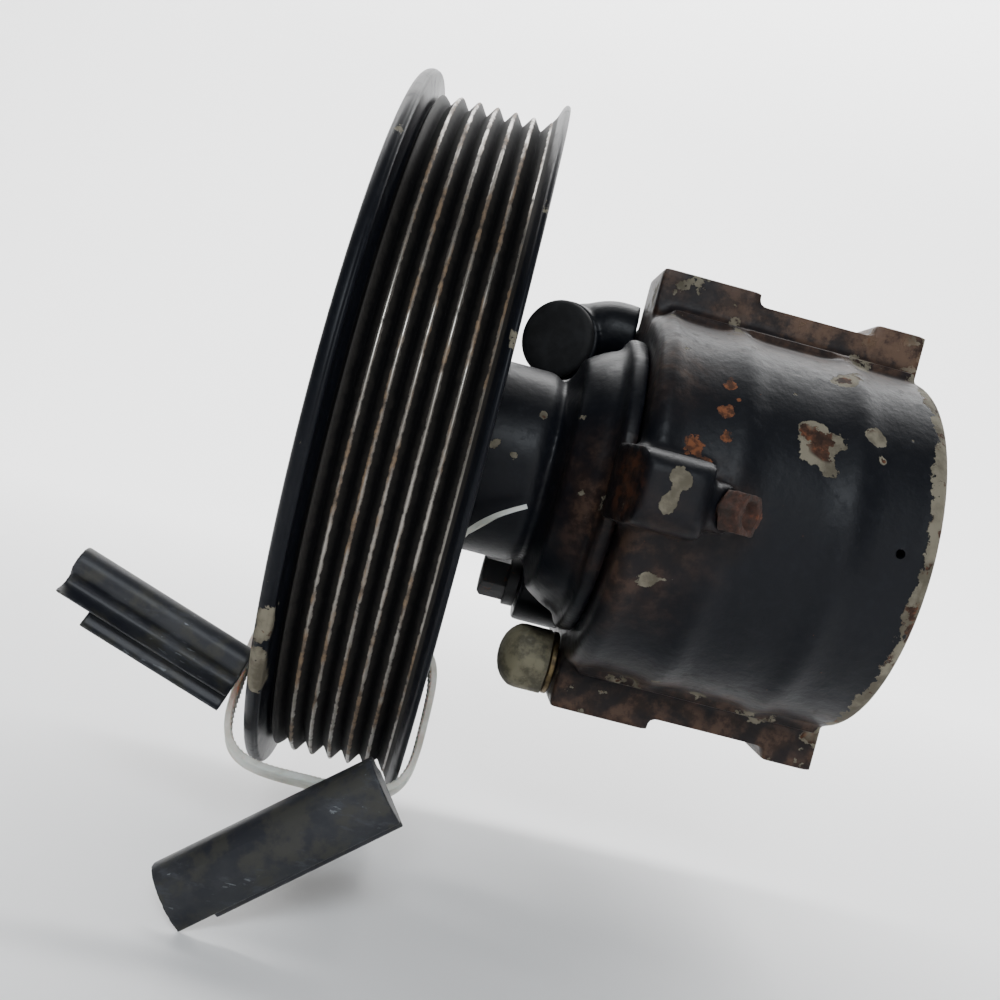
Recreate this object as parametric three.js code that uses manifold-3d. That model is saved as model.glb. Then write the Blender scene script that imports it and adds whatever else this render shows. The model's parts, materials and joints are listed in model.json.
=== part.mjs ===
// Small belt-driven two-rotor supercharger, in millimetres.
// +X runs along the drive shaft from the pulley to the rear of the case, -Y is the side with
// the clamp lug, +Z is the inlet rail. The origin is on the drive shaft's axis, in the plane
// of the rear face. The parts are modelled from the belt's mid plane (station 0) and the
// whole assembly is then moved back by REAR_STATION.
import * as THREE from 'three';
import { mergeVertices } from 'three/addons/utils/BufferGeometryUtils.js';
import Module from 'manifold-3d';

const wasm = await Module();
wasm.setup();

// ---------------------------------------------------------------- driving dimensions
const GAP = 0.3;                 // clearance kept between pieces that touch
const CENTRES = 42;              // distance from the drive shaft to the driven shaft, along +Y
const MID = CENTRES / 2;
const REAR_STATION = 98.3;       // rear face of the case, from the belt's mid plane

const BELT = { ribs: 6, pitch: 3.56, depth: 2.6, crest: 67.3, shoulder: 66.8 };
const RIM = { left: -15.05, right: 13.4, outer: 71, inner: 60, land: 5.2 };
const WEB = { front: -3.3, back: -GAP, windows: 5, windowR: 9.5, windowAt: 43 };
const HUB = { flangeR: 24, flange: 4, sleeveR: 11.5, end: 12.2, boltAt: 17.5, bolts: 4 };

const SHAFT = { nose: 5, seat: 7, front: 7.5, rear: 6 };
const SNOUT = { start: 12.5, end: 27.3, r: 20.2, shoulder: 3.6, bore: 17.5, boreEnd: 26.9,
  waist: 17.4 };
const GEAR_CASE = { front: 29.3, wall: 33, back: 40.7, neckR: 25.2, bodyR: 28, flangeR: 31 };
const GEAR = { teeth: 24, outer: 22.5, root: 19.0, x0: 34, x1: 40.2, cavity: 24.3 };

const CASE = { front: 41, wall: 49.3, r: 37.1, crest: 0.9, bore: 31.8 };
const CRESTS = [43, 58.6, 80.8];  // stations of the three cast rings
const CHAMFER = 3;
const RAIL = { y0: -1, y1: 43, cutY: 16, cutX: 47.5, inner: 30, low: 44.8, pad: 47.5,
  frontPad: 62.3, rearPad: 87.3 };
const PORT = { x0: 55, x1: 85, y0: 9, y1: 33 };
const COVER = { x0: 90.3, x1: REAR_STATION, r: 33.1, tabY0: 5, tabY1: 37, tabZ: 44, screwZ: 40.2 };
const ROTOR = { x0: 49.8, x1: 89.8, clearance: 0.35 };

const LUG = { x0: 36.5, x1: 53.2, top: 47.4, z: 1.3, width: 14.2, flat: 3.8 };
// The clamp bolt leans out from the drum, beside the lug: the point is the centre of its seat.
const CLAMP = { seat: [57, -42.2, 1], lean: -44, corner: 4.2, head: 4.6, shankR: 2.5, boss: 4.6 };
const ELBOW = { y: MID, z: 34, r: 7.5, bore: 5.9, lipR: 9.1, mouth: [24.8, 18, 29.4] };
const CAP = { y: 9, z: -40, r: 7.2, x0: 28.5, x1: 40.7 };

// ---------------------------------------------------------------- materials
const paint = (color, roughness = 0.6, metalness = 0.3) => () =>
  new THREE.MeshStandardMaterial({ color, roughness, metalness });
const BLACK_PAINT = paint(0x2a2b2f, 0.55);
const RUSTY_IRON = paint(0x5a4438, 0.9);
const BARE_STEEL = paint(0x9a958c, 0.4, 0.9);
const STEEL = paint(0x8d8f93, 0.35, 0.9);
const ALUMINIUM = paint(0xb4b5b4, 0.45, 0.9);
const BRASS = paint(0xa8905a, 0.5, 0.8);
const OLIVE = paint(0x8f8868, 0.7);
const RUBBER = paint(0x18181a, 0.85, 0);
const NYLON = paint(0xcfcdc2, 0.6, 0);

// ---------------------------------------------------------------- solids
const toSolid = (geometry) => {
  const bare = geometry.clone();
  bare.deleteAttribute('normal');
  bare.deleteAttribute('uv');
  const merged = mergeVertices(bare, 1e-4);
  return new wasm.Manifold(new wasm.Mesh({
    numProp: 3,
    vertProperties: new Float32Array(merged.attributes.position.array),
    triVerts: new Uint32Array(merged.index.array),
  }));
};

const toGeometry = (solid) => {
  const mesh = solid.getMesh();
  const geometry = new THREE.BufferGeometry();
  geometry.setAttribute('position', new THREE.BufferAttribute(mesh.vertProperties, 3));
  geometry.setIndex(new THREE.BufferAttribute(mesh.triVerts, 1));
  geometry.computeVertexNormals();
  return geometry;
};

const join = (...solids) => solids.reduce((a, b) => a.add(b));
const cut = (solid, ...tools) => tools.reduce((a, b) => a.subtract(b), solid);
const move = (solid, x, y, z) => solid.translate([x, y, z]);

// Drops the hair-thin leftovers that a cut through nearly coincident faces can leave.
const mainBody = (solid) =>
  solid.decompose().reduce((a, b) => (b.volume() > a.volume() ? b : a));

// A solid of revolution about the X axis: the profile is a list of [station, radius].
const turned = (profile, segments = 40, y = 0, z = 0) => {
  const points = profile.map(([x, r]) => new THREE.Vector2(r, x));
  const geometry = new THREE.LatheGeometry(points, segments);
  geometry.rotateZ(-Math.PI / 2);
  let solid = toSolid(geometry);
  if (solid.volume() < 0) throw new Error('profile runs the wrong way');
  return move(solid, 0, y, z);
};

const rod = (x0, x1, r, segments = 32, y = 0, z = 0) =>
  turned([[x0, 0], [x0, r], [x1, r], [x1, 0]], segments, y, z);

const ring = (x0, x1, inner, outer, segments = 40, y = 0, z = 0) =>
  turned([[x0, inner], [x0, outer], [x1, outer], [x1, inner], [x0, inner]], segments, y, z);

const block = (x0, x1, y0, y1, z0, z1) => {
  const geometry = new THREE.BoxGeometry(x1 - x0, y1 - y0, z1 - z0);
  geometry.translate((x0 + x1) / 2, (y0 + y1) / 2, (z0 + z1) / 2);
  return toSolid(geometry);
};

// An outline pushed along an axis. along 'x': points are [y, z]; along 'y': [z, x];
// along 'z': [x, y]. The order keeps each basis right-handed.
const BASES = {
  x: new THREE.Matrix4().set(0, 0, 1, 0, 1, 0, 0, 0, 0, 1, 0, 0, 0, 0, 0, 1),
  y: new THREE.Matrix4().set(0, 1, 0, 0, 0, 0, 1, 0, 1, 0, 0, 0, 0, 0, 0, 1),
  z: new THREE.Matrix4(),
};
const pushed = (outline, along, from, to) => {
  const shape = new THREE.Shape(outline.map(([u, v]) => new THREE.Vector2(u, v)));
  const geometry = new THREE.ExtrudeGeometry(shape, { depth: to - from, bevelEnabled: false });
  geometry.translate(0, 0, from);
  geometry.applyMatrix4(BASES[along]);
  return toSolid(geometry);
};

const hexOutline = (r, y = 0, z = 0) =>
  Array.from({ length: 6 }, (_, i) => {
    const a = (i * Math.PI) / 3;
    return [y + r * Math.cos(a), z + r * Math.sin(a)];
  });

// The same profile turned about both shafts and carried straight across between them.
const twoLobes = (profile, segments = 40, straight = true) => {
  const lobes = join(turned(profile, segments), turned(profile, segments, CENTRES));
  if (!straight) return lobes;
  const upper = profile.map(([x, r]) => [r, x]);
  const lower = profile.slice(1, -1).reverse().map(([x, r]) => [-r, x]);
  return join(lobes, pushed([...upper, ...lower], 'y', 0, CENTRES));
};

// ---------------------------------------------------------------- the assembly
const supercharger = new THREE.Group();
const assembly = new THREE.Group();
assembly.position.x = -REAR_STATION;
supercharger.add(assembly);

const place = (name, solid, material, parent = assembly) => {
  const mesh = new THREE.Mesh(toGeometry(solid), material());
  mesh.name = name;
  parent.add(mesh);
  return mesh;
};

// ---------------------------------------------------------------- rotor case
const caseRadius = (x) =>
  CASE.r + CRESTS.reduce((h, c) => h + CASE.crest * Math.exp(-(((x - c) / 3) ** 2)), 0);

function rotorCase() {
  const profile = [[CASE.front, 0], [CASE.front, CASE.r - 2.5]];
  const stations = [43, 46.5, 55, 58.6, 62.2, 77.2, 80.8, 84.4];
  for (const x of stations) profile.push([x, caseRadius(x)]);
  profile.push([REAR_STATION - CHAMFER, CASE.r + 0.2]);
  profile.push([REAR_STATION - 1.2, CASE.r - 0.9]);
  profile.push([REAR_STATION, CASE.r - 2.4], [REAR_STATION, 0]);
  let body = twoLobes(profile, 28);

  for (const side of [1, -1]) {
    const span = (z0, z1) => (side > 0 ? [z0, z1] : [-z1, -z0]);
    const rail = (outline, top) => pushed(outline, 'z', ...span(RAIL.inner, top));
    const { y0, y1, cutX, cutY, frontPad, rearPad } = RAIL;
    const frontEdge = [[cutX, y1], [CASE.front, cutY], [CASE.front, y0]];
    body = join(body, rail([...frontEdge, [REAR_STATION, y0], [REAR_STATION, y1]], RAIL.low),
      rail([...frontEdge, [frontPad, y0], [frontPad, y1]], RAIL.pad),
      rail([[rearPad, y0], [REAR_STATION, y0], [REAR_STATION, y1], [rearPad, y1]], RAIL.pad));
    body = cut(body, block(PORT.x0, PORT.x1, PORT.y0, PORT.y1, ...span(18, RAIL.pad + 1)));
    for (const x of [50, 93]) {
      for (const y of [3.4, 38.6]) body = cut(body, portStudHole(x, y, side));
    }
  }
  body = join(body, clampLug(), atClamp(rod(-9, 0, CLAMP.boss, 16)));
  body = cut(body, atClamp(rod(-8, 1, CLAMP.shankR + GAP, 12)));

  const bore = [[CASE.wall, 0], [CASE.wall, CASE.bore], [COVER.x0 + 1, CASE.bore],
    [COVER.x0 + 1, 0]];
  body = cut(body, twoLobes(bore, 32, false));
  body = cut(body, coverOutline(COVER.r + GAP, GAP, COVER.x0 - GAP, REAR_STATION + 1));
  for (const y of [0, CENTRES]) {
    body = cut(body, rod(CASE.front - 1, 47.8, 14, 20, y), rod(47, 50, 9.5, 20, y));
  }
  for (const [y, z] of CASE_BOLTS) body = cut(body, rod(40, 48, 2.6 + GAP, 10, y, z));
  for (const [y, z] of COVER_SCREWS) body = cut(body, rod(86.8, 92, 2.2 + GAP, 10, y, z));
  body = cut(body, rod(40, 44, 4, 12, CAP.y, CAP.z));
  return cut(body, weepHole());
}

// Blind hole for a manifold stud in one of the rails.
function portStudHole(x, y, side) {
  const depth = 8;
  const hole = toSolid(new THREE.CylinderGeometry(2.5, 2.5, depth, 12).rotateX(Math.PI / 2));
  return move(hole, x, y, side * (RAIL.pad + 1 - depth / 2));
}

// Radial drilled hole that vents the bore, near the rear face.
function weepHole() {
  const drill = toSolid(new THREE.CylinderGeometry(0.9, 0.9, 10, 8));
  return move(drill, 90.8, -35, 1.4);
}

// Split lug that stands off the case, with a sloping seat on the side of the pulley.
function clampLug() {
  const z0 = LUG.z - LUG.width / 2;
  const foot = -GEAR_CASE.flangeR - 0.6;
  const outline = [[LUG.x0, foot], [40.4, -46], [41.4, -LUG.top], [LUG.x1 - 1.6, -LUG.top],
    [LUG.x1, -45], [LUG.x1, -34], [43, -33], [42, foot]];
  const edge = (flip, y, dz) => [y, LUG.z + flip * dz];
  const side = [[-28, LUG.width / 2], [-42.8, LUG.width / 2], [-45.2, 6.5], [-46.8, 5.4],
    [-LUG.top, LUG.flat]];
  const section = [...side.map(([y, dz]) => edge(1, y, dz)),
    ...side.reverse().map(([y, dz]) => edge(-1, y, dz))];
  return pushed(outline.reverse(), 'z', z0, z0 + LUG.width)
    .intersect(pushed(section.reverse(), 'x', LUG.x0 - 1, LUG.x1 + 1));
}

// Moves a piece made about the X axis onto the clamp bolt's leaning axis.
function atClamp(solid) {
  return move(solid.rotate([0, 0, CLAMP.lean]), ...CLAMP.seat);
}

// Outline shared by the rear cover and the pocket it sits in.
function coverOutline(r, grow, x0, x1) {
  const plate = [[x0, 0], [x0, r], [x1, r], [x1, 0]];
  const tab = block(x0, x1, COVER.tabY0 - grow, COVER.tabY1 + grow,
    -COVER.tabZ - grow, COVER.tabZ + grow);
  return join(twoLobes(plate, 28), tab);
}

// The lowest gear-case bolt stands on a tall boss of its own.
const LOW_BOLT = { seat: 30, head: 6.2, washer: 2.4 };
const CASE_BOLTS = [[MID, -25.5], [38.5, 31.5], [CENTRES + 22.8, 22.8], [CENTRES + 22.8, -22.8]];
const COVER_SCREWS = [[12, 1], [30, 1], [12, -1], [30, -1]].map(
  ([y, side]) => [y, side * COVER.screwZ]);

// ---------------------------------------------------------------- rear cover
function rearCover() {
  let plate = coverOutline(COVER.r, 0, COVER.x0, COVER.x1);
  for (const y of [0, CENTRES]) {
    plate = cut(plate, rod(COVER.x0 - 1, 96.2, 12, 20, y));
  }
  for (const [y, z] of COVER_SCREWS) {
    plate = cut(plate, rod(COVER.x0 - 1, COVER.x1 + 1, 2.2 + GAP, 10, y, z));
    const sink = COVER.x1 + 0.1;
    plate = cut(plate, turned([[95, 0], [95, 2.4], [sink, 4.5], [sink, 0]], 12, y, z));
  }
  return plate;
}

// ---------------------------------------------------------------- gear case with its snout
function gearCase() {
  const arc = Array.from({ length: 4 }, (_, i) => {
    const a = (i / 3) * (Math.PI / 2);
    return [SNOUT.end - SNOUT.shoulder * (1 - Math.sin(a)),
      SNOUT.r - SNOUT.shoulder * (1 - Math.cos(a))];
  });
  const snout = turned([[SNOUT.start, 0], [SNOUT.start, SNOUT.r - 0.8],
    [SNOUT.start + 0.8, SNOUT.r], ...arc, [SNOUT.end, SNOUT.waist],
    [GEAR_CASE.front + 1, SNOUT.waist], [GEAR_CASE.front + 1, 0]], 28);
  const shell = [[GEAR_CASE.front, 0], [GEAR_CASE.front, GEAR_CASE.neckR - 2],
    [GEAR_CASE.front + 1.6, GEAR_CASE.neckR], [33.5, GEAR_CASE.bodyR - 1.2],
    [36.4, GEAR_CASE.bodyR], [37.6, GEAR_CASE.flangeR], [GEAR_CASE.back, GEAR_CASE.flangeR],
    [GEAR_CASE.back, 0]];
  let body = join(twoLobes(shell, 28, false), snout);
  body = join(body, block(31, GEAR_CASE.back, 8, CENTRES - 8, -21, 21));
  CASE_BOLTS.forEach(([y, z], i) => {
    const boss = i === 0 ? [LOW_BOLT.seat, 8.6] : [33.2, 5.4];
    body = join(body, rod(boss[0], GEAR_CASE.back, boss[1], 18, y, z));
  });
  const cavity = [[GEAR_CASE.wall, 0], [GEAR_CASE.wall, GEAR.cavity],
    [GEAR_CASE.back + 1, GEAR.cavity], [GEAR_CASE.back + 1, 0]];
  body = cut(body, twoLobes(cavity, 28, false));
  body = cut(body, rod(SNOUT.start - 1, SNOUT.boreEnd, SNOUT.bore, 24),
    rod(26, 34, 11, 20));
  body = cut(body, ring(17.9, 18.9, 15, SNOUT.bore + 0.9, 24));
  for (const [y, z] of CASE_BOLTS) body = cut(body, rod(28, 42, 2.6 + GAP, 10, y, z));
  return body;
}

// ---------------------------------------------------------------- shafts, rotors and gears
function driveShaft() {
  const shaft = turned([[-10.5, 0], [-10.5, SHAFT.nose - 0.7], [-9.8, SHAFT.nose],
    [-0.6, SHAFT.nose], [-0.6, SHAFT.seat], [12.8, SHAFT.seat], [12.8, SHAFT.front],
    [40.9, SHAFT.front], [40.9, SHAFT.rear], [95.5, SHAFT.rear], [95.5, 0]], 20);
  return cut(shaft, block(1, 9.3, -1.5 - GAP, 1.5 + GAP, 4.9, 8));
}

function drivenShaft() {
  return turned([[33.6, 0], [33.6, SHAFT.rear - 0.6], [34.2, SHAFT.rear], [95.5, SHAFT.rear],
    [95.5, 0]], 20, CENTRES);
}

// Two-lobed rotor outline: an epicycloid tip that runs into a hypocycloid waist, both rolled
// by a circle of an eighth of the shaft distance, drawn in by the running clearance.
function rotorOutline(turn) {
  const pitch = MID;
  const roll = CENTRES / 8;
  const perQuarter = 12;
  const points = [];
  for (let i = 0; i < perQuarter * 4; i++) {
    const t = (i / (perQuarter * 4)) * 2 * Math.PI - Math.PI / 4;
    const quarter = Math.floor(i / perQuarter);
    const outward = quarter % 2 === 0 ? 1 : -1;
    const k = (pitch + outward * roll) / roll;
    points.push([
      (pitch + outward * roll) * Math.cos(t + Math.PI / 4)
        - outward * roll * Math.cos(k * (t + Math.PI / 4)),
      (pitch + outward * roll) * Math.sin(t + Math.PI / 4)
        - roll * Math.sin(k * (t + Math.PI / 4)),
    ]);
  }
  const lead = turn - Math.PI / 4;
  return points.map(([a, b]) => {
    const radius = Math.hypot(a, b);
    const shrink = (radius - ROTOR.clearance) / radius;
    const angle = Math.atan2(b, a) + lead;
    return [radius * shrink * Math.cos(angle), radius * shrink * Math.sin(angle)];
  });
}

function rotor(y, turn) {
  const lobes = pushed(rotorOutline(turn), 'x', ROTOR.x0, ROTOR.x1);
  return move(cut(lobes, rod(ROTOR.x0 - 1, ROTOR.x1 + 1, SHAFT.rear + GAP, 20)), 0, y, 0);
}

function timingGear(y, bore, turn) {
  const outline = [];
  const step = (2 * Math.PI) / GEAR.teeth;
  const tooth = [[GEAR.root, -0.33], [GEAR.outer, -0.13], [GEAR.outer, 0.13],
    [GEAR.root, 0.33]];
  for (let i = 0; i < GEAR.teeth; i++) {
    for (const [r, f] of tooth) {
      const a = turn + (i + f) * step;
      outline.push([r * Math.cos(a), r * Math.sin(a)]);
    }
  }
  const gear = pushed(outline, 'x', GEAR.x0, GEAR.x1);
  return move(cut(gear, rod(GEAR.x0 - 1, GEAR.x1 + 1, bore, 20)), 0, y, 0);
}

// ---------------------------------------------------------------- bearings
// Deep-groove bearing: two grooved rings and a caged set of balls.
function bearing(name, x0, x1, inner, outer, y, balls) {
  const middle = (x0 + x1) / 2;
  const radius = (inner + outer) / 2;
  const wall = (outer - inner) * 0.3;
  const ballR = (outer - inner) * 0.17;
  place(`${name}_outer_race`, ring(x0, x1, outer - wall, outer, 20, y), STEEL);
  place(`${name}_inner_race`, ring(x0, x1, inner, inner + wall, 20, y), STEEL);
  let cage = ring(middle - 0.8, middle + 0.8, radius - 0.5, radius + 0.5, 16);
  for (let i = 0; i < balls; i++) {
    const a = (i / balls) * 2 * Math.PI;
    const ball = toSolid(new THREE.OctahedronGeometry(ballR, 0));
    cage = join(cage, move(ball, middle, radius * Math.cos(a), radius * Math.sin(a)));
  }
  place(`${name}_balls_and_cage`, move(cage, 0, y, 0), STEEL);
}

// ---------------------------------------------------------------- pulley
function pulleyRim() {
  const half = (BELT.ribs * BELT.pitch) / 2;
  const root = BELT.crest - BELT.depth;
  const profile = [[RIM.left + RIM.land, RIM.inner], [RIM.left, RIM.inner + 2.5],
    [RIM.left, RIM.outer - 1.2], [RIM.left + 1.2, RIM.outer], [-half - 1.6, RIM.outer],
    [-half - 0.6, root + 0.8]];
  for (let i = 0; i < BELT.ribs; i++) {
    const x = -half + i * BELT.pitch;
    profile.push([x, i > 0 ? BELT.crest : BELT.shoulder], [x + BELT.pitch / 2, root]);
  }
  profile.push([half, BELT.crest], [RIM.right - 1.1, RIM.outer], [RIM.right, RIM.outer],
    [RIM.right - 2, RIM.inner + 3], [half - 1, RIM.inner],
    [RIM.left + RIM.land, RIM.inner]);
  return turned(profile, 40);
}

const WINDOW_TURN = (-124 * Math.PI) / 180;  // the window that the tie passes through

function pulleyWeb() {
  let web = turned([[WEB.front, 0], [WEB.front, 30], [WEB.front + 4, 36],
    [WEB.front + 4, RIM.inner - GAP], [WEB.back + 4, RIM.inner - GAP], [WEB.back + 4, 35],
    [WEB.back, 29], [WEB.back, 0]], 36);
  web = cut(web, rod(WEB.front - 1, WEB.back + 1, 8, 20));
  for (let i = 0; i < WEB.windows; i++) {
    const a = WINDOW_TURN + (i * 2 * Math.PI) / WEB.windows;
    web = cut(web, rod(WEB.front - 1, WEB.back + 5, WEB.windowR, 16,
      WEB.windowAt * Math.cos(a), WEB.windowAt * Math.sin(a)));
  }
  for (const [y, z] of hubBolts()) web = cut(web, rod(-5, 1, 3 + GAP, 8, y, z));
  return web;
}

function hubBolts() {
  return Array.from({ length: HUB.bolts }, (_, i) => {
    const a = ((i + 0.5) * 2 * Math.PI) / HUB.bolts;
    return [HUB.boltAt * Math.cos(a), HUB.boltAt * Math.sin(a)];
  });
}

function pulleyHub() {
  let hub = turned([[0, 0], [0, HUB.flangeR], [HUB.flange, HUB.flangeR],
    [HUB.flange, HUB.sleeveR + 1], [HUB.flange + 1, HUB.sleeveR], [HUB.end, HUB.sleeveR],
    [HUB.end, 0]], 24);
  hub = cut(hub, rod(-1, HUB.end + 1, SHAFT.seat + GAP, 20));
  hub = cut(hub, block(-1, 9.6, -1.5 - GAP, 1.5 + GAP, 6, 9));
  for (const [y, z] of hubBolts()) hub = cut(hub, rod(-1, 5, 2.5 + GAP, 8, y, z));
  return hub;
}

// Hexagon head screw along X: head in front, shank running back through the parts.
function hexScrew(x0, head, shank, headR, shankR, y, z, washer = 0) {
  let screw = pushed(hexOutline(headR), 'x', x0, x0 + head);
  if (washer) screw = join(screw, rod(x0 + head - 0.01, x0 + head + washer, headR + 0.8, 16));
  const start = x0 + head + washer - 0.01;
  return move(join(screw, rod(start, start + shank, shankR, 10)), 0, y, z);
}

// ---------------------------------------------------------------- clamp bolt, elbow and cap
function lugBolt() {
  const head = pushed(hexOutline(CLAMP.corner), 'x', GAP, GAP + CLAMP.head);
  const socket = rod(CLAMP.head - 1.6, CLAMP.head + 1, 2.1, 12);
  return atClamp(join(cut(head, socket), rod(-7, GAP + 0.01, CLAMP.shankR, 16)));
}

// A tube along a curve: a round section pushed along the path.
function tube(points, radius, sides, steps) {
  const path = new THREE.CatmullRomCurve3(points.map((p) => new THREE.Vector3(...p)));
  const section = new THREE.Shape(Array.from({ length: sides }, (_, i) => {
    const a = (i / sides) * 2 * Math.PI;
    return new THREE.Vector2(radius * Math.cos(a), radius * Math.sin(a));
  }));
  return toSolid(new THREE.ExtrudeGeometry(section, { extrudePath: path, steps,
    bevelEnabled: false }));
}

// A disc-like turned piece whose axis points out of the elbow's mouth.
const MOUTH_TURN = 239;          // degrees from +X, about +Z
function atMouth(solid) {
  return move(solid.rotate([0, 0, MOUTH_TURN]), ...ELBOW.mouth);
}

function inletElbow() {
  const [mx, my, mz] = ELBOW.mouth;
  const route = [[CASE.front - GAP, ELBOW.y, ELBOW.z], [36, 21.2, ELBOW.z],
    [31.5, 22.4, 32.3], [mx + 2.8, my + 4.7, mz + 0.7]];
  const outer = join(tube(route, ELBOW.r, 14, 8),
    atMouth(turned([[-6, 0], [-6, 6.6], [-2.6, 7.6], [-1.7, ELBOW.lipR], [0, ELBOW.lipR], [0, 0]], 20)));
  const bulge = toSolid(new THREE.SphereGeometry(7.8, 14, 8));
  const elbow = join(outer, move(bulge, 30.5, 22.3, 31.8));
  const bore = atMouth(rod(-5, 1, ELBOW.bore, 14));
  const beyondMouth = atMouth(rod(0, 8, 14, 8));
  return mainBody(cut(elbow, bore, beyondMouth));
}

// Rubber bung that closes the elbow's mouth.
function mouthBung() {
  return atMouth(turned([[-4.4, 0], [-4.4, 5.2], [GAP, 5.6], [GAP, 8.7], [1.7, 8.7],
    [2.6, 7.6], [2.6, 0]], 20));
}

function reliefCap() {
  const { x0, x1, r } = CAP;
  const dome = turned([[x0, 0], [x0 + 0.3, 2.6], [x0 + 1.6, 5.2], [x0 + 3.6, r - 0.4],
    [x0 + 5, r], [x1 - 1.6, r], [x1 - 1.6, 0]], 18);
  const stem = rod(x1 - 1.7, x1 + 2.4, 3.6, 20);
  const hex = pushed(hexOutline(r + 0.9), 'x', x0 - 1, x1 + 4);
  return move(join(dome.intersect(hex), stem), 0, CAP.y, CAP.z);
}

// ---------------------------------------------------------------- tied-on strips and their tie
// Two pressed strips, each a shaped sheet and a flat layer folded behind it, as
// [across, outward]: one has an open bead, a hollow and a flared lip, the other a rounded back.
const BEADED = {
  sheet: [[5.8, -0.4], [5.7, 1.6], [4.9, 3.2], [3.6, 4.0], [2.2, 3.8], [1.1, 2.8], [0.2, 1.6],
    [-0.7, 1.1], [-1.7, 1.5], [-2.6, 2.4], [-3.4, 3.4], [-3.4, 2.2], [-2.6, 1.0], [-1.8, -0.4]],
  layer: [[4.2, -0.2], [-1.8, -0.2], [-5.2, 0], [-5.9, 0.5], [-5.9, -0.7], [-5.2, -1.4],
    [3.6, -1.4]],
};
const ROUNDED = {
  sheet: [[5.8, -0.9], [5.5, 0.9], [4.6, 2.2], [3.2, 2.9], [1.4, 3.1], [-0.8, 2.8], [-2.8, 2.1],
    [-4.5, 1.0], [-5.8, -0.4], [-5.4, -1.4]],
  layer: [[4.2, -0.6], [-4.6, -0.8], [-6.1, -1.6], [-6.1, -2.4], [3.6, -2.4]],
};
const LAYER_START = 6;
// Where each strip lies: its two ends, and the way its outward side faces.
const LOW_STRIP = { from: [-17.9, -60, -81], to: [11.5, -60, -55.9], facing: [0, -1, 0.58] };
const LEFT_STRIP = { from: [-49.2, -44, -38.3], to: [-17.6, -44, -48.6], facing: [0.15, -1, 0.35] };

// A pressed strip that runs from one point to another, with its outward side turned to face a
// direction as nearly as it can.
function railShoe(section, { from, to, facing }) {
  const a = new THREE.Vector3(...from);
  const run = new THREE.Vector3(...to).sub(a);
  const length = run.length();
  const strip = join(pushed(section.sheet, 'x', 0, length),
    pushed(section.layer, 'x', LAYER_START, length));
  const x = run.clone().normalize();
  const outward = new THREE.Vector3(...facing);
  outward.addScaledVector(x, -x.dot(outward)).normalize();
  const across = new THREE.Vector3().crossVectors(outward, x);
  const basis = new THREE.Matrix4().makeBasis(x, across, outward).setPosition(a);
  return strip.transform(basis.elements);
}

// The tie is a flat strap: a closed loop through one pulley window and round the rim, pulled
// nearly square by the flanges, with a locking head on its inner side and a free tail lying
// along the snout. halfX and halfR are half the loop's size along the shaft and outwards.
const TIE = { halfX: 17, halfR: 15.6, squareness: 4, thickness: 1.2, width: 4.6, x: -1.4,
  radial: 60.4, sides: 40 };
function cableTie() {
  const [t, w] = [TIE.thickness / 2, TIE.width / 2];
  const section = [[-t, -w], [t, -w], [t, w], [-t, w], [-t, -w]];
  const ring = new THREE.LatheGeometry(
    section.map(([r, y]) => new THREE.Vector2(TIE.halfR + r, y)), TIE.sides);
  const spots = ring.attributes.position;
  for (let i = 0; i < spots.count; i += 1) {
    const [x, y, z] = [spots.getX(i), spots.getY(i), spots.getZ(i)];
    const flat = Math.hypot(x, z);
    const [c, s, n] = [x / flat, z / flat, TIE.squareness];
    const reach = (Math.abs(c / TIE.halfX) ** n + Math.abs(s / TIE.halfR) ** n) ** (-1 / n);
    const r = reach + flat - TIE.halfR;
    spots.setXYZ(i, r * c, y, r * s);
  }
  const turnToWindow = (WINDOW_TURN * 180) / Math.PI;
  const inPlane = toSolid(ring).rotate([90, 0, 0]);
  const placed = move(inPlane, TIE.x, TIE.radial, 0).rotate([turnToWindow, 0, 0]);
  const head = move(block(-3.2, 3.2, -2.6, 2.6, -3.2, 3.2), 8.2, 46, 0)
    .rotate([turnToWindow, 0, 0]);
  const tail = tube(TAIL, 1.05, 6, 18);
  return join(placed, head, tail);
}
const TAIL = [[8.2, -25.7, -38.1], [8.8, -25, -30], [10.6, -22.4, -21], [14.3, -19.5, -15.9],
  [18.5, -21.2, -11.5], [21.5, -22.1, -9.3], [24.4, -22.5, -7.6]];

// ---------------------------------------------------------------- put together
place('rotor_case', rotorCase(), BLACK_PAINT);
place('rear_cover', rearCover(), BLACK_PAINT);
place('gear_case', gearCase(), BLACK_PAINT);
place('drive_shaft', driveShaft(), STEEL);
place('driven_shaft', drivenShaft(), STEEL);
place('drive_rotor', rotor(0, Math.PI / 2), ALUMINIUM);
place('driven_rotor', rotor(CENTRES, 0), ALUMINIUM);
place('drive_gear', timingGear(0, SHAFT.front + GAP, 0), STEEL);
place('driven_gear', timingGear(CENTRES, SHAFT.rear + GAP, Math.PI / GEAR.teeth), STEEL);

bearing('snout_bearing', 19.2, SNOUT.boreEnd - GAP, SHAFT.front + GAP, SNOUT.bore - GAP, 0, 8);
for (const [side, y] of [['drive', 0], ['driven', CENTRES]]) {
  bearing(`${side}_front_bearing`, 41.3, 47.4, SHAFT.rear + GAP, 13.7, y, 8);
  bearing(`${side}_rear_bearing`, 90.6, 95.8, SHAFT.rear + GAP, 11.7, y, 8);
  place(`${side}_rotor_seal`, ring(47.9, 49.2, SHAFT.rear + GAP, 9.2, 20, y), RUBBER);
}
place('snout_circlip', cut(ring(18, 18.8, 15.2, SNOUT.bore + 0.6, 24),
  block(17, 20, -1.5, 1.5, 10, 20)), STEEL);
place('snout_oil_seal', turned([[12.9, 8.6], [12.9, 17.2], [17.6, 17.2], [17.6, 15.5],
  [14.4, 15.5], [14.4, 9], [16.6, 7.8], [15.6, 7.8], [12.9, 8.6]], 24), RUBBER);
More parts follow.
